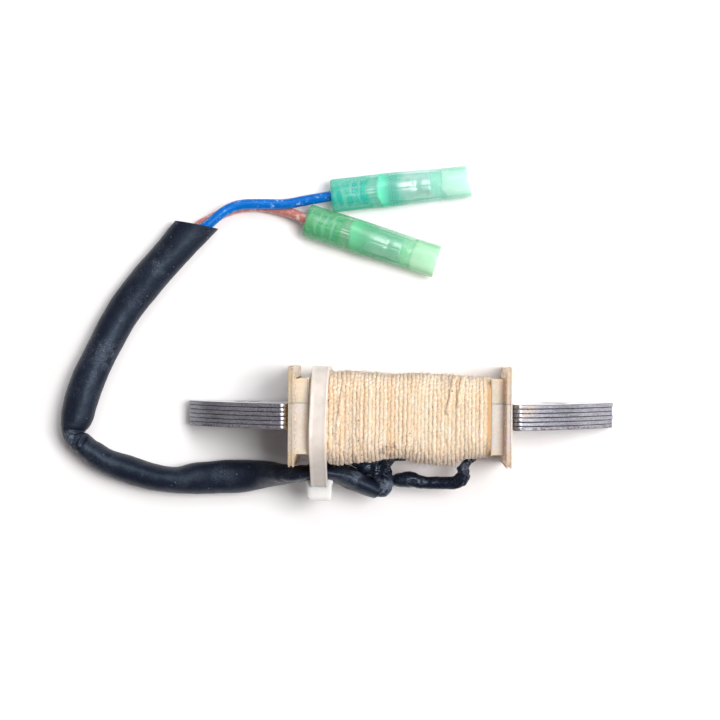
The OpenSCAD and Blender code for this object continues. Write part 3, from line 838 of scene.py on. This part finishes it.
def ear_points(end_x):
    """The right ear's outline from the limb's top round to its underside."""
    tip_x = EAR_INNER_X + TIP_R
    centre_z = POLE_PEAK_Z - POLE_R
    tip_z = centre_z + math.sqrt((POLE_R - TIP_R) ** 2 - tip_x ** 2)
    lean = math.atan2(tip_x, tip_z - centre_z)
    out = [(EAR_INNER_X, LIMB_HIGH_Z), (EAR_INNER_X, (LIMB_HIGH_Z + tip_z) / 2)]
    for k in range(11):
        a = math.pi - (math.pi / 2 + lean) * k / 10
        out.append((tip_x + TIP_R * math.cos(a), tip_z + TIP_R * math.sin(a)))
    start_x, end_z = out[-1][0], pole_z(end_x)
    for k in range(1, 45):
        x = start_x + (end_x - start_x) * k / 44
        out.append((x, pole_z(x)))
    out += [(end_x, end_z + (EAR_LOW_Z - end_z) * k / 6) for k in range(1, 7)]
    out += [(end_x + (EAR_INNER_X - end_x) * k / 12, EAR_LOW_Z) for k in range(1, 13)]
    return out + [(EAR_INNER_X, LIMB_LOW_Z)]


def lamination(index, draw):
    """One punched sheet: rounded and burred edges, not quite in line with the rest."""
    name = f"lamination_{index}"
    low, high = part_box(name)
    right, left = draw.uniform(-0.10, 0.10), draw.uniform(-0.04, 0.04)
    mirrored = [(-x, z) for x, z in ear_points(CORE_HALF_L + left * MM)]
    ring = ear_points(CORE_HALF_L + right * MM) + mirrored[::-1]
    curve = bpy.data.curves.new(name, "CURVE")
    curve.dimensions = "2D"
    curve.fill_mode = "BOTH"
    curve.extrude = (high.y - low.y) / 2 - SHEET_BEVEL
    curve.bevel_depth = SHEET_BEVEL
    curve.bevel_resolution = 2
    curve.offset = -SHEET_BEVEL
    holes = [[(x + HOLE_R * math.cos(TAU * k / 48), HOLE_R * math.sin(TAU * k / 48))
              for k in range(48)] for x in (-HOLE_X, HOLE_X)]
    for points in [ring, *holes]:
        spline = curve.splines.new("POLY")
        spline.points.add(len(points) - 1)
        spline.use_cyclic_u = True
        for point, (x, z) in zip(spline.points, points):
            point.co = (x, z, 0, 1)
    holder = bpy.data.objects.new(name + "_outline", curve)
    mesh = bpy.data.meshes.new_from_object(holder)
    bpy.data.objects.remove(holder)
    bpy.data.curves.remove(curve)
    lift = draw.uniform(-0.05, 0.05) * MM
    middle = (low.y + high.y) / 2
    for vertex in mesh.vertices:
        x, z, y = vertex.co
        spot = Vector((x, middle - y, z))
        ragged = 0.02 * MM * rumple(spot + Vector((0, index * 9 * MM, 0)), 1.4 * MM)
        vertex.co = spot + Vector((0, 0.25 * ragged, ragged + lift))
    mesh.shade_smooth()
    mesh.set_sharp_from_angle(angle=math.radians(40))
    mesh.name = f"sheet_{index}"
    return piece(f"sheet_{index}", mesh, [STEEL], [name])


# ---------------------------------------------------------------- bobbin

BOBBIN_LOW, BOBBIN_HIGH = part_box("bobbin_front_half")[0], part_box("bobbin_rear_half")[1]
BOBBIN_Z = (BOBBIN_LOW.z + BOBBIN_HIGH.z) / 2
BOBBIN_END = BOBBIN_HIGH.x
FLANGE_HALF = (BOBBIN_HIGH.y, BOBBIN_HIGH.z - BOBBIN_Z)
FLANGE_T = 1.2 * MM
FLANGE_CORNER = 1.7 * MM
NECK_CORNER = 0.3 * MM
TUBE_CORNER = 0.5 * MM
EASE = 0.30 * MM
NECK_HALF = (7.65 * MM, 9.5 * MM)
NECK_L = 2.9 * MM
TUBE_HALF = (3.835 * MM, 5.8 * MM)
HOLE_HALF = (2.635 * MM, 4.6 * MM)
SEAM = 0.05 * MM
WINDING_HALF_L = BOBBIN_END - FLANGE_T - NECK_L


def half_section(half, corner, inset):
    """The front half's outline across the core, as (y, z) from the bobbin's middle."""
    wide, high = half[0] - inset, half[1] - inset
    seam_y = HOLE_HALF[0]
    seam_r = 0.10 * MM
    r = max(corner - inset, 0.05 * MM)

    def bend(centre_y, centre_z, radius, start):
        return [(centre_y + radius * math.cos(math.radians(start + 15 * k)),
                 centre_z + radius * math.sin(math.radians(start + 15 * k))) for k in range(7)]

    out = bend(-wide + r, -high + r, r, 180)
    out += bend(-seam_y - SEAM / 2 - seam_r, -high + seam_r, seam_r, 270)
    out += [(-seam_y - SEAM / 2, HOLE_HALF[1]), (seam_y - SEAM / 2, HOLE_HALF[1])]
    out += bend(seam_y - SEAM / 2 - seam_r, high - seam_r, seam_r, 0)
    out += bend(-wide + r, high - r, r, 90)
    return out


def bobbin_half(name, look, nodes, turned):
    """Half of the bobbin: flanges, shoulders and tube in one skin with eased edges."""
    flange_in = BOBBIN_END - FLANGE_T
    eased = [(EASE * (1 - math.sin(math.pi / 6 * k)), EASE * (1 - math.cos(math.pi / 6 * k)))
             for k in range(4)]

    def slab(from_x, to_x, half, corner):
        return ([(from_x + step, half, corner, inset) for step, inset in eased]
                + [(to_x - step, half, corner, inset) for step, inset in eased[::-1]])

    stations = slab(-BOBBIN_END, -flange_in, FLANGE_HALF, FLANGE_CORNER)
    stations += slab(-flange_in, -WINDING_HALF_L, NECK_HALF, NECK_CORNER)
    stations += [(x, TUBE_HALF, TUBE_CORNER, 0) for x in (-WINDING_HALF_L, WINDING_HALF_L)]
    stations += slab(WINDING_HALF_L, flange_in, NECK_HALF, NECK_CORNER)
    stations += slab(flange_in, BOBBIN_END, FLANGE_HALF, FLANGE_CORNER)
    rings = []
    for x, half, corner, inset in stations:
        ring = []
        for y, z in half_section(half, corner, inset):
            if turned:
                y, z = -y, -z
            spot = Vector((x, y, BOBBIN_Z + z))
            wobble = 0.05 * MM * rumple(spot, 4 * MM)
            ring.append(spot + Vector((wobble, wobble, 0)))
        rings.append(ring)
    shape = Shape()
    shape.skin(rings, caps=True)
    return piece(name, shape.mesh(name, 35), [look], nodes)


# ---------------------------------------------------------------- winding

BINDING_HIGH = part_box("thread_binding")[1]
BINDING_HALF = (BINDING_HIGH.y, BINDING_HIGH.z - BOBBIN_Z)
BINDING_CORNER = 5.45 * MM
STRAND_R = 0.47 * MM
STRAND_FLAT = 0.8
STRAND_TURNS = 46
POINTS_A_TURN = 150
FIBRES = 3200
# How far the binding stands out at its two long sides: places along it in millimetres,
# then the swelling there towards -Y and towards +Y
SWELLINGS = [(-17.7, 0.4, 0.1), (-11.3, 1.0, 0.2), (-7.4, 0.5, 0.1), (-0.2, -0.3, -0.35),
             (3.9, 0.6, -0.1), (7.0, 1.0, -0.3), (10.3, 1.1, -0.45), (12.7, -0.3, -0.65),
             (17.7, -0.6, -0.9)]
# Strands on top of the rest: start and lean along X in millimetres, and the shares of
# the way round between which each shows
CROSSING_STRANDS = [(-12.4, 1.2, 0.97, 1.13), (9.2, 1.9, 0.06, 0.20),
                    (11.3, 1.5, 0.08, 0.21), (3.0, -1.2, 0.40, 0.55), (-6.0, 1.4, 0.60, 0.72)]


def round_box(half, corner, share):
    """The point and outward direction at a share of the way round a rounded box."""
    flat_y, flat_z = half[0] - corner, half[1] - corner
    bend = corner * math.pi / 2
    sides = [(2 * flat_y, (-flat_y, half[1]), (1, 0), None), (bend, (flat_y, flat_z), None, 90),
             (2 * flat_z, (half[0], flat_z), (0, -1), None), (bend, (flat_y, -flat_z), None, 0),
             (2 * flat_y, (flat_y, -half[1]), (-1, 0), None), (bend, (-flat_y, -flat_z), None, -90),
             (2 * flat_z, (-half[0], -flat_z), (0, 1), None), (bend, (-flat_y, flat_z), None, -180)]
    left = (share % 1) * sum(side[0] for side in sides)
    for length, start, way, angle in sides:
        if left <= length:
            break
        left -= length
    if way:
        return (start[0] + way[0] * left, start[1] + way[1] * left), (-way[1], way[0])
    turned = math.radians(angle - 90 * left / length)
    out = (math.cos(turned), math.sin(turned))
    return (start[0] + corner * out[0], start[1] + corner * out[1]), out


def strand_rings(path, radius, seed):
    """Rings of a two-ply strand along path, a list of (point, outward) pairs."""
    points = [p for p, _ in path]
    at = travelled(points)
    rings = []
    for i, (p, outward) in enumerate(path):
        last = len(points) - 1
        along = (points[min(i + 1, last)] - points[max(i - 1, 0)]).normalized()
        side = along.cross(outward).normalized()
        thick = radius * (1 + 0.16 * noise.noise(Vector((at[i] / (2.1 * MM), seed * 1.7, 0))))
        ring = []
        for k in range(8):
            a = TAU * k / 8
            lobe = 1 + 0.12 * math.cos(2 * a - TAU * at[i] / (2.6 * MM))
            spoke = side * math.cos(a) + outward * (math.sin(a) * STRAND_FLAT)
            ring.append(p + spoke * thick * lobe)
        rings.append(ring)
    return rings, [s / MM for s in at]


def swelling(x, out_y):
    """How far the binding stands out at x, on the side that out_y points to."""
    for before, after in zip(SWELLINGS, SWELLINGS[1:]):
        if x <= after[0] * MM:
            break
    t = min(max((x / MM - before[0]) / (after[0] - before[0]), 0), 1)
    t = t * t * (3 - 2 * t)
    side = 1 if out_y < 0 else 2
    return (before[side] * (1 - t) + after[side] * t) * out_y * out_y * MM


def binding_point(x, share, lift):
    """The point and outward direction on the binding's middle, moved out by lift."""
    half = (BINDING_HALF[0] - STRAND_R + lift, BINDING_HALF[1] - STRAND_R + lift)
    (y, z), out = round_box(half, BINDING_CORNER - STRAND_R + lift, share)
    swell = swelling(x, out[0])
    spot = Vector((x, y + out[0] * swell, BOBBIN_Z + z + out[1] * swell))
    return spot, Vector((0, out[0], out[1]))


def thread_binding(draw):
    """Strand by strand cotton binding, wandering and bulging, over an inner layer."""
    shape = Shape()
    pitch = 2 * WINDING_HALF_L / STRAND_TURNS
    path = []
    for i in range(STRAND_TURNS * POINTS_A_TURN):
        turn = i / POINTS_A_TURN
        x = -WINDING_HALF_L + STRAND_R + (turn / STRAND_TURNS) * 2 * (WINDING_HALF_L - STRAND_R)
        _, out = binding_point(x, turn, 0)
        beside = Vector((turn * 0.22, out.y * 0.8, out.z * 0.8))
        own = Vector((turn * 1.31 + 40, out.y * 1.4, out.z * 1.4))
        # Matted towards the left end, where the strands are chafed
        wild = 1 + min(max((-2 * MM - x) / (6 * MM), 0), 1)
        sway = 0.45 * noise.noise(beside) + 0.20 * wild * noise.noise(own)
        lift = 0.26 * noise.noise(beside + Vector((90, 0, 0)))
        lift += 0.16 * wild * noise.noise(own + Vector((7, 7, 7)))
        edge = min(1, min(turn, STRAND_TURNS - turn) / 2)
        path.append(binding_point(x + sway * edge * pitch, turn, (lift - 0.06) * MM))
    rings, at = strand_rings(path, STRAND_R, 0)
    shape.skin(rings, caps=True, along=at)
    # A few strands that were wound across the others
    for start_x, lean, from_share, to_share in CROSSING_STRANDS:
        path = []
        for i in range(61):
            t = i / 60
            share = from_share + (to_share - from_share) * t
            x = (start_x + lean * t + 0.2 * noise.noise(Vector((t * 5, start_x, 3)))) * MM
            over = 0.55 * math.sin(math.pi * t) ** 0.35
            path.append(binding_point(x, share, (over - 0.1) * MM))
        rings, at = strand_rings(path, STRAND_R * 0.95, start_x)
        shape.skin(rings, caps=True, along=at)
    outer, inner = [], []
    for i in range(37):
        x = WINDING_HALF_L * (i / 18 - 1)
        outer.append([binding_point(x, k / 72, -0.04 * MM)[0] for k in range(72)])
        inner.append([binding_point(x, k / 72, -0.75 * MM)[0] for k in range(72)])
    shape.wall(outer, inner)
    add_fibres(shape, draw)
    return piece("cotton_binding", shape.mesh("cotton_binding", 80), [COTTON],
                 ["thread_binding"])


def add_fibres(shape, draw):
    """Fine stray fibres standing off the cotton."""
    for _ in range(FIBRES):
        share = draw.random()
        x = draw.uniform(-WINDING_HALF_L, WINDING_HALF_L) * 0.98
        base, out = binding_point(x, share, 0.1 * MM)
        drift = Vector([draw.uniform(-1, 1) for _ in range(3)])
        length = draw.uniform(0.4, 1.5) * MM
        rings = []
        for i in range(4):
            t = i / 3
            centre = base + out * (0.5 * length * t) + drift * (0.5 * length * t * t)
            across = out.cross(drift).normalized()
            width = 0.022 * MM * (1 - 0.6 * t)
            rings.append([centre + across * width * math.cos(TAU * k / 3)
                          + out * width * math.sin(TAU * k / 3) for k in range(3)])
        shape.skin(rings, caps=True)


# ---------------------------------------------------------------- cable tie

TIE_X = -15.9 * MM
TIE_GAP = 0.05 * MM
# The sleeve under the tie, and the heights of the middles of its two ends
TIED_Y, TIED_R = -11.5 * MM, 1.75 * MM
TIED_Z = (-3.9 * MM, 1.7 * MM)


def tie_path():
    """The strap's inner line as (y, z): round the winding, then out round the sleeve."""
    half = (BINDING_HALF[0] + TIE_GAP, BINDING_HALF[1] + TIE_GAP)
    corner = BINDING_CORNER + TIE_GAP
    points = {round_box(half, corner, k / 240)[0] for k in range(240)}
    for z in TIED_Z:
        points |= {(TIED_Y + TIED_R * math.cos(TAU * k / 48), z + TIED_R * math.sin(TAU * k / 48))
                   for k in range(48)}
    points = sorted(points)

    def chain(order):
        """One side of the tight outline round the points."""
        kept = []
        for p in order:
            while len(kept) > 1 and ((kept[-1][0] - kept[-2][0]) * (p[1] - kept[-2][1])
                                     - (kept[-1][1] - kept[-2][1]) * (p[0] - kept[-2][0])) <= 0:
                kept.pop()
            kept.append(p)
        return kept[:-1]

    return chain(points) + chain(points[::-1])


def evenly(line, step):
    """A closed line's points again, about step apart."""
    closed = line + [line[0]]
    out = []
    for a, b in zip(closed, closed[1:]):
        count = max(1, round(math.dist(a, b) / step))
        out += [(a[0] + (b[0] - a[0]) * k / count, a[1] + (b[1] - a[1]) * k / count)
                for k in range(count)]
    return out


# The strap's section in millimetres: across from its middle, and out from its inner face
STRAP_HALF = [(1.56, 0.0), (1.68, 0.12), (1.68, 0.85), (1.60, 0.97), (1.46, 1.0), (1.34, 0.98),
              (1.26, 0.92), (0.8, 0.90)]
STRAP_SECTION = [(-x, h) for x, h in STRAP_HALF] + [(0, 0.89)] + STRAP_HALF[::-1]
# The head's top and middle, and its levels from the lip down to the rounded foot: the
# distance below the top, half width, half height and corner, in millimetres
HEAD_TOP_Y, HEAD_Z = -12.75 * MM, 2.9 * MM
HEAD_X = TIE_X - 0.2 * MM
HEAD_LEVELS = [(-0.30, 2.62, 2.30, 0.5), (-0.36, 2.80, 2.45, 0.5), (0.10, 2.86, 2.52, 0.5),
               (0.34, 2.80, 2.46, 0.5), (0.95, 2.72, 2.40, 0.5), (1.15, 2.50, 2.34, 0.5),
               (3.5, 2.44, 2.30, 0.6), (4.1, 2.34, 2.2, 0.6), (4.33, 2.16, 2.0, 0.7),
               (4.43, 1.9, 1.7, 0.8)]


def cable_tie():
    """The tie's band, a little askew, and its head in one piece."""
    shape = Shape()
    line = evenly(tie_path(), 0.5 * MM)
    count = len(line)
    rings = []
    for i in range(count):
        before, after = line[(i - 1) % count], line[(i + 1) % count]
        run = Vector((0, after[0] - before[0], after[1] - before[1])).normalized()
        out = run.cross(Vector((1, 0, 0)))
        spot = Vector((TIE_X, line[i][0], BOBBIN_Z + line[i][1]))
        lean = min(max((spot.y + 2 * MM) / (11 * MM), 0), 1)
        sway = (0.45 * lean - 0.15) * MM + 0.06 * MM * noise.noise(spot / (9 * MM))
        ring = [spot + Vector((x * MM + sway, 0, 0)) + out * (h * MM) for x, h in STRAP_SECTION]
        rings.append(ring)
    at = travelled([ring[0] for ring in rings])
    shape.skin(rings, closed=True, along=[s / MM for s in at])
    rings = []
    for below, half_x, half_z, corner in HEAD_LEVELS:
        ring = []
        for k in range(40):
            (x, z), _ = round_box((half_x * MM, half_z * MM), corner * MM, k / 40)
            lip = 0.18 * max(z, 0) if below < 0.2 else 0
            ring.append(Vector((HEAD_X + x, HEAD_TOP_Y - below * MM + lip, HEAD_Z + z)))
        rings.append(ring)
    shape.skin(rings, caps=True)
    return piece("tie_band", shape.mesh("tie_band", 40), [TIE], ["cable_tie"])


# ---------------------------------------------------------------- connectors

# Cover's outline in millimetres as (distance from the lead's end, radius): outside,
# then back along the inside
COVER_OUTLINE = [
    (0.0, 2.45), (0.05, 2.75), (0.25, 2.98), (0.6, 3.08), (1.5, 3.1), (3, 3.1), (5, 3.1), (7, 3.1),
    (9, 3.1), (11, 3.08), (13, 3.06), (15, 3.06), (17, 3.06), (19, 3.06), (21, 3.06), (22.2, 3.06),
    (22.4, 3.0), (22.7, 3.0), (22.9, 3.07), (24, 3.08), (25.5, 3.09), (27, 3.1), (27.8, 3.1),
    (28.0, 3.04), (28.0, 2.8), (27.8, 2.75), (26, 2.75), (24, 2.75), (22.6, 2.75), (22.4, 2.5),
    (20, 2.5), (17, 2.5), (14, 2.5), (11, 2.5), (8.2, 2.5), (7.5, 2.3), (7.4, 1.9), (5, 1.7),
    (3, 1.55), (1, 1.5), (0.3, 1.55), (0.0, 1.8)]


def lathe(shape, profile, plug, around, dent):
    """Adds a closed profile turned round a connector's axis; dent moves each point
    along and out by a little. plug: the connector's start and heading."""
    start, heading = plug
    axis = Vector((math.cos(heading), math.sin(heading), 0))
    side = Z_AXIS.cross(axis)
    rings = []
    for s, r in profile:
        ring = []
        for k in range(around):
            a = TAU * k / around
            shift, push = dent(s, a)
            out = side * math.cos(a) + Z_AXIS * math.sin(a)
            ring.append(start + axis * ((s + shift) * MM) + out * ((r + push) * MM))
        rings.append(ring)
    shape.skin(rings, closed=True, along=[s for s, _ in profile])


def connector_cover(colour, plug, look, seed, mouth_spread, mouth_skew):
    """A soft cover, pressed flatter than round and a little swollen in the middle.
    mouth_spread: how much wider it is at its mouth; mouth_skew: how far the mouth leans."""
    def dent(s, a):
        level = min(max((s - 19) / 5, 0), 1)
        spread = (0.30 + 0.13 * bell(s, 13, 5)) * (1 - level) + mouth_spread * level
        ripple = 0.035 * noise.noise(Vector((s * 0.5, 3 * math.cos(a) + seed, 3 * math.sin(a))))
        ragged = noise.noise(Vector((s * 0.2, 6 * math.cos(a), 6 * math.sin(a) + seed)))
        ragged *= 0.06 * (s > 27.5)
        lean = mouth_skew * (1 - math.cos(a)) * min(max((s - 22) / 6, 0), 1)
        return lean + ragged, spread * math.cos(a) ** 2 + ripple

    shape = Shape()
    lathe(shape, COVER_OUTLINE, plug, 48, dent)
    name = f"{colour}_lead_cover"
    return piece(name, shape.mesh(name, 45), [look], [f"{colour}_connector_cover"])


# Socket's round wall, in the same way: outside from its throat to its rolled mouth, then
# inside
SOCKET_WALL = [(12.5, 2.05), (12.9, 2.20), (13.6, 2.34), (14.4, 2.38), (16.2, 2.38), (16.9, 2.26),
               (17.5, 2.16), (18.1, 2.26), (18.7, 2.38), (19.9, 2.38), (20.2, 2.42), (20.3, 2.34),
               (20.25, 2.10), (19.9, 2.0), (18.5, 2.0), (17.6, 1.99), (16.6, 2.0), (13.4, 2.0),
               (12.5, 1.99)]
# Crimps and neck: distance and radius of an outside line, with an inside line behind it
NECK_WALL = [(2.0, 1.35), (2.1, 1.52), (3.5, 1.56), (4.9, 1.52), (5.1, 1.30), (5.6, 1.02),
             (6.0, 1.06), (6.2, 1.16), (9.2, 1.16), (9.6, 1.10), (10.2, 1.25), (11.4, 1.75),
             (12.4, 2.15), (12.4, 1.95), (11.4, 1.55), (10.2, 1.05), (9.6, 0.90), (6.2, 0.72),
             (5.6, 0.72), (5.1, 1.08), (2.0, 1.08)]
# How finely both are divided, in millimetres
WALL_STEP = 0.4


def bullet_socket(colour, plug, seed):
    """A stamped female bullet: folded wings round the wire and a rolled, slit socket."""
    def socket_dent(s, a):
        seam = -0.30 * bell(a, math.pi / 2 + 0.1, 0.07)
        dimple = -0.30 * bell(s, 17.4, 0.5) * bell(a, math.pi / 2 - 0.15, 0.35)
        return 0, seam + dimple + 0.03 * noise.noise(Vector((s * 0.8, 2.5 * a, seed)))

    def neck_dent(s, a):
        wing = -0.22 * bell(a, math.pi / 2, 0.16)
        bite = -0.14 * bell((s - 7.4) % 0.9, 0.45, 0.2) if 6.3 < s < 9.2 else 0.0
        return 0, wing + bite + 0.04 * noise.noise(Vector((s * 2, a * 2, seed)))

    shape = Shape()
    for wall, dent in ((SOCKET_WALL, socket_dent), (NECK_WALL, neck_dent)):
        lathe(shape, evenly(wall, WALL_STEP), plug, 56, dent)
    name = f"{colour}_lead_socket"
    return piece(name, shape.mesh(name, 50), [TIN], [f"{colour}_bullet_socket"])


# ---------------------------------------------------------------- build

make_camera()
make_studio()

STEEL = steel_look()
COTTON = cotton_look()
TIE = tie_look()
SLEEVE = sleeve_look("black_vinyl", 0.36, 0.36, [
    ((-67.2, -5.0, -1.4), 2.2, 0.8), ((-21.6, -11.6, 4.0), 1.6, 0.35),
    ((-8.4, -11.9, 5.0), 2.3, 0.8), ((-49.6, 29.8, -2.0), 2.4, 0.40),
    ((-54.6, 23.0, -1.0), 3.2, 0.18), ((-60.2, 11.9, -1.0), 4.4, 0.38),
    ((-60.5, -10.0, -1.5), 5.0, 0.13), ((-44.0, -12.5, -1.0), 5.0, 0.12)])
JOINT = sleeve_look("scuffed_black_vinyl", 0.35, 0.22, [
    ((-3.4, -15.0, 3.2), 3.0, 0.95), ((4.4, -13.4, 1.0), 1.1, 0.5), ((12.9, -10.2, 2.8), 1.3, 0.8)])
CUT = cut_look()
BLUE = wire_look("blue_vinyl", (0.0, 0.17, 0.62), (0.0, 0.10, 0.42), (0.38, 0.60, 0.84), 0.57,
                 (0.35, 0.65, 1.0))
BROWN = wire_look("brown_vinyl", (0.60, 0.23, 0.20), (0.47, 0.165, 0.13), (0.80, 0.62, 0.58), 0.52,
                  (1.0, 0.95, 0.93))
MINT = cover_look("mint_vinyl", [
    (0, (0.04, 0.64, 0.46), 0.46), (7.4, 0.3, (0.22, 0.80, 0.62), 0.28),
    (9.2, 0.3, (0.20, 0.98, 0.66), 0.70), (10.6, 1.5, (0.14, 0.68, 0.53), 0.36),
    (14.0, 1.2, (0.36, 0.90, 0.76), 0.17),
    (20.4, 1.2, (0.34, 0.90, 0.70), 0.27), (22.7, 0.2, (0.58, 0.98, 0.82), 0.38)],
    (0.03, 0.36, 0.62), (0.90, 1.0, 0.97), (0.35, 0.62, 0.48))
GREEN = cover_look("green_vinyl", [
    (0, (0.10, 0.52, 0.22), 0.50), (7.4, 0.4, (0.24, 0.66, 0.38), 0.30),
    (9.2, 0.5, (0.18, 0.74, 0.39), 0.58), (11.4, 1.8, (0.18, 0.62, 0.36), 0.42),
    (14.0, 1.2, (0.22, 0.68, 0.44), 0.34),
    (20.4, 1.2, (0.30, 0.78, 0.46), 0.34), (22.7, 0.3, (0.52, 0.92, 0.63), 0.40)],
    (0.10, 0.50, 0.42), (0.88, 1.0, 0.90), (0.35, 0.52, 0.28))
STRAND = metal_look("copper_strand", (0.80, 0.42, 0.24), (0.62, 0.30, 0.16), 0.25, 0.45)
TIN = metal_look("tinned_brass", (0.95, 0.95, 0.94), (0.80, 0.80, 0.79), 0.36, 0.50)

blue_lead, blue_line, blue_strands = lead("blue", BLUE_START, 1, BLUE_FREE, BLUE_PLUG, BLUE)
brown_lead, brown_line, brown_strands = lead("brown", BROWN_START, -1, BROWN_FREE, BROWN_PLUG,
                                             BROWN)
sleeve, sleeve_line = long_sleeve()
blue_cover = connector_cover("blue", BLUE_PLUG, MINT, 1.0, 0.16, 0.30)
brown_cover = connector_cover("brown", BROWN_PLUG, GREEN, 4.0, 0.27, 0.05)
blue_socket = bullet_socket("blue", BLUE_PLUG, 1.0)
brown_socket = bullet_socket("brown", BROWN_PLUG, 5.0)

joint_sleeve("blue", BLUE_JOINT_ROUTE, BLUE_JOINT_FOLDS, 1)
joint_sleeve("brown", BROWN_JOINT_ROUTE, BROWN_JOINT_FOLDS, 5)

sheets_draw = random.Random(4)
for sheet in range(1, 7):
    lamination(sheet, sheets_draw)
bobbin_half("front_bobbin", nylon_look("front_nylon", (0.77, 0.70, 0.65), (0.78, 0.65, 0.52), 6.6),
            ["bobbin_front_half"], False)
bobbin_half("rear_bobbin", nylon_look("rear_nylon", (0.79, 0.69, 0.58), (0.77, 0.63, 0.49), 6.4),
            ["bobbin_rear_half"], True)
thread_binding(random.Random(11))
cable_tie()

# CAD nodes that stay: the parts inside
COPPER = copper_look()
SOLDER = metal_look("solder", (0.62, 0.62, 0.60), (0.42, 0.42, 0.41), 0.3, 0.5)
INSIDE = {"copper_winding": COPPER, "insulating_tape": tape_look(), "blue_solder_joint": SOLDER,
          "brown_solder_joint": SOLDER, "blue_lead_tail": COPPER, "brown_lead_tail": COPPER}
for name, look in INSIDE.items():
    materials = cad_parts[name].data.materials
    materials.clear()
    materials.append(look)

floor_mesh = bpy.data.meshes.new("floor")
floor_mesh.from_pydata([(x, y, TABLE_Z) for x, y in FLOOR_CORNERS], [], [(0, 1, 2, 3)])
floor = bpy.data.objects.new("floor", floor_mesh)
floor_mesh.materials.append(floor_look())
bpy.context.scene.collection.objects.link(floor)
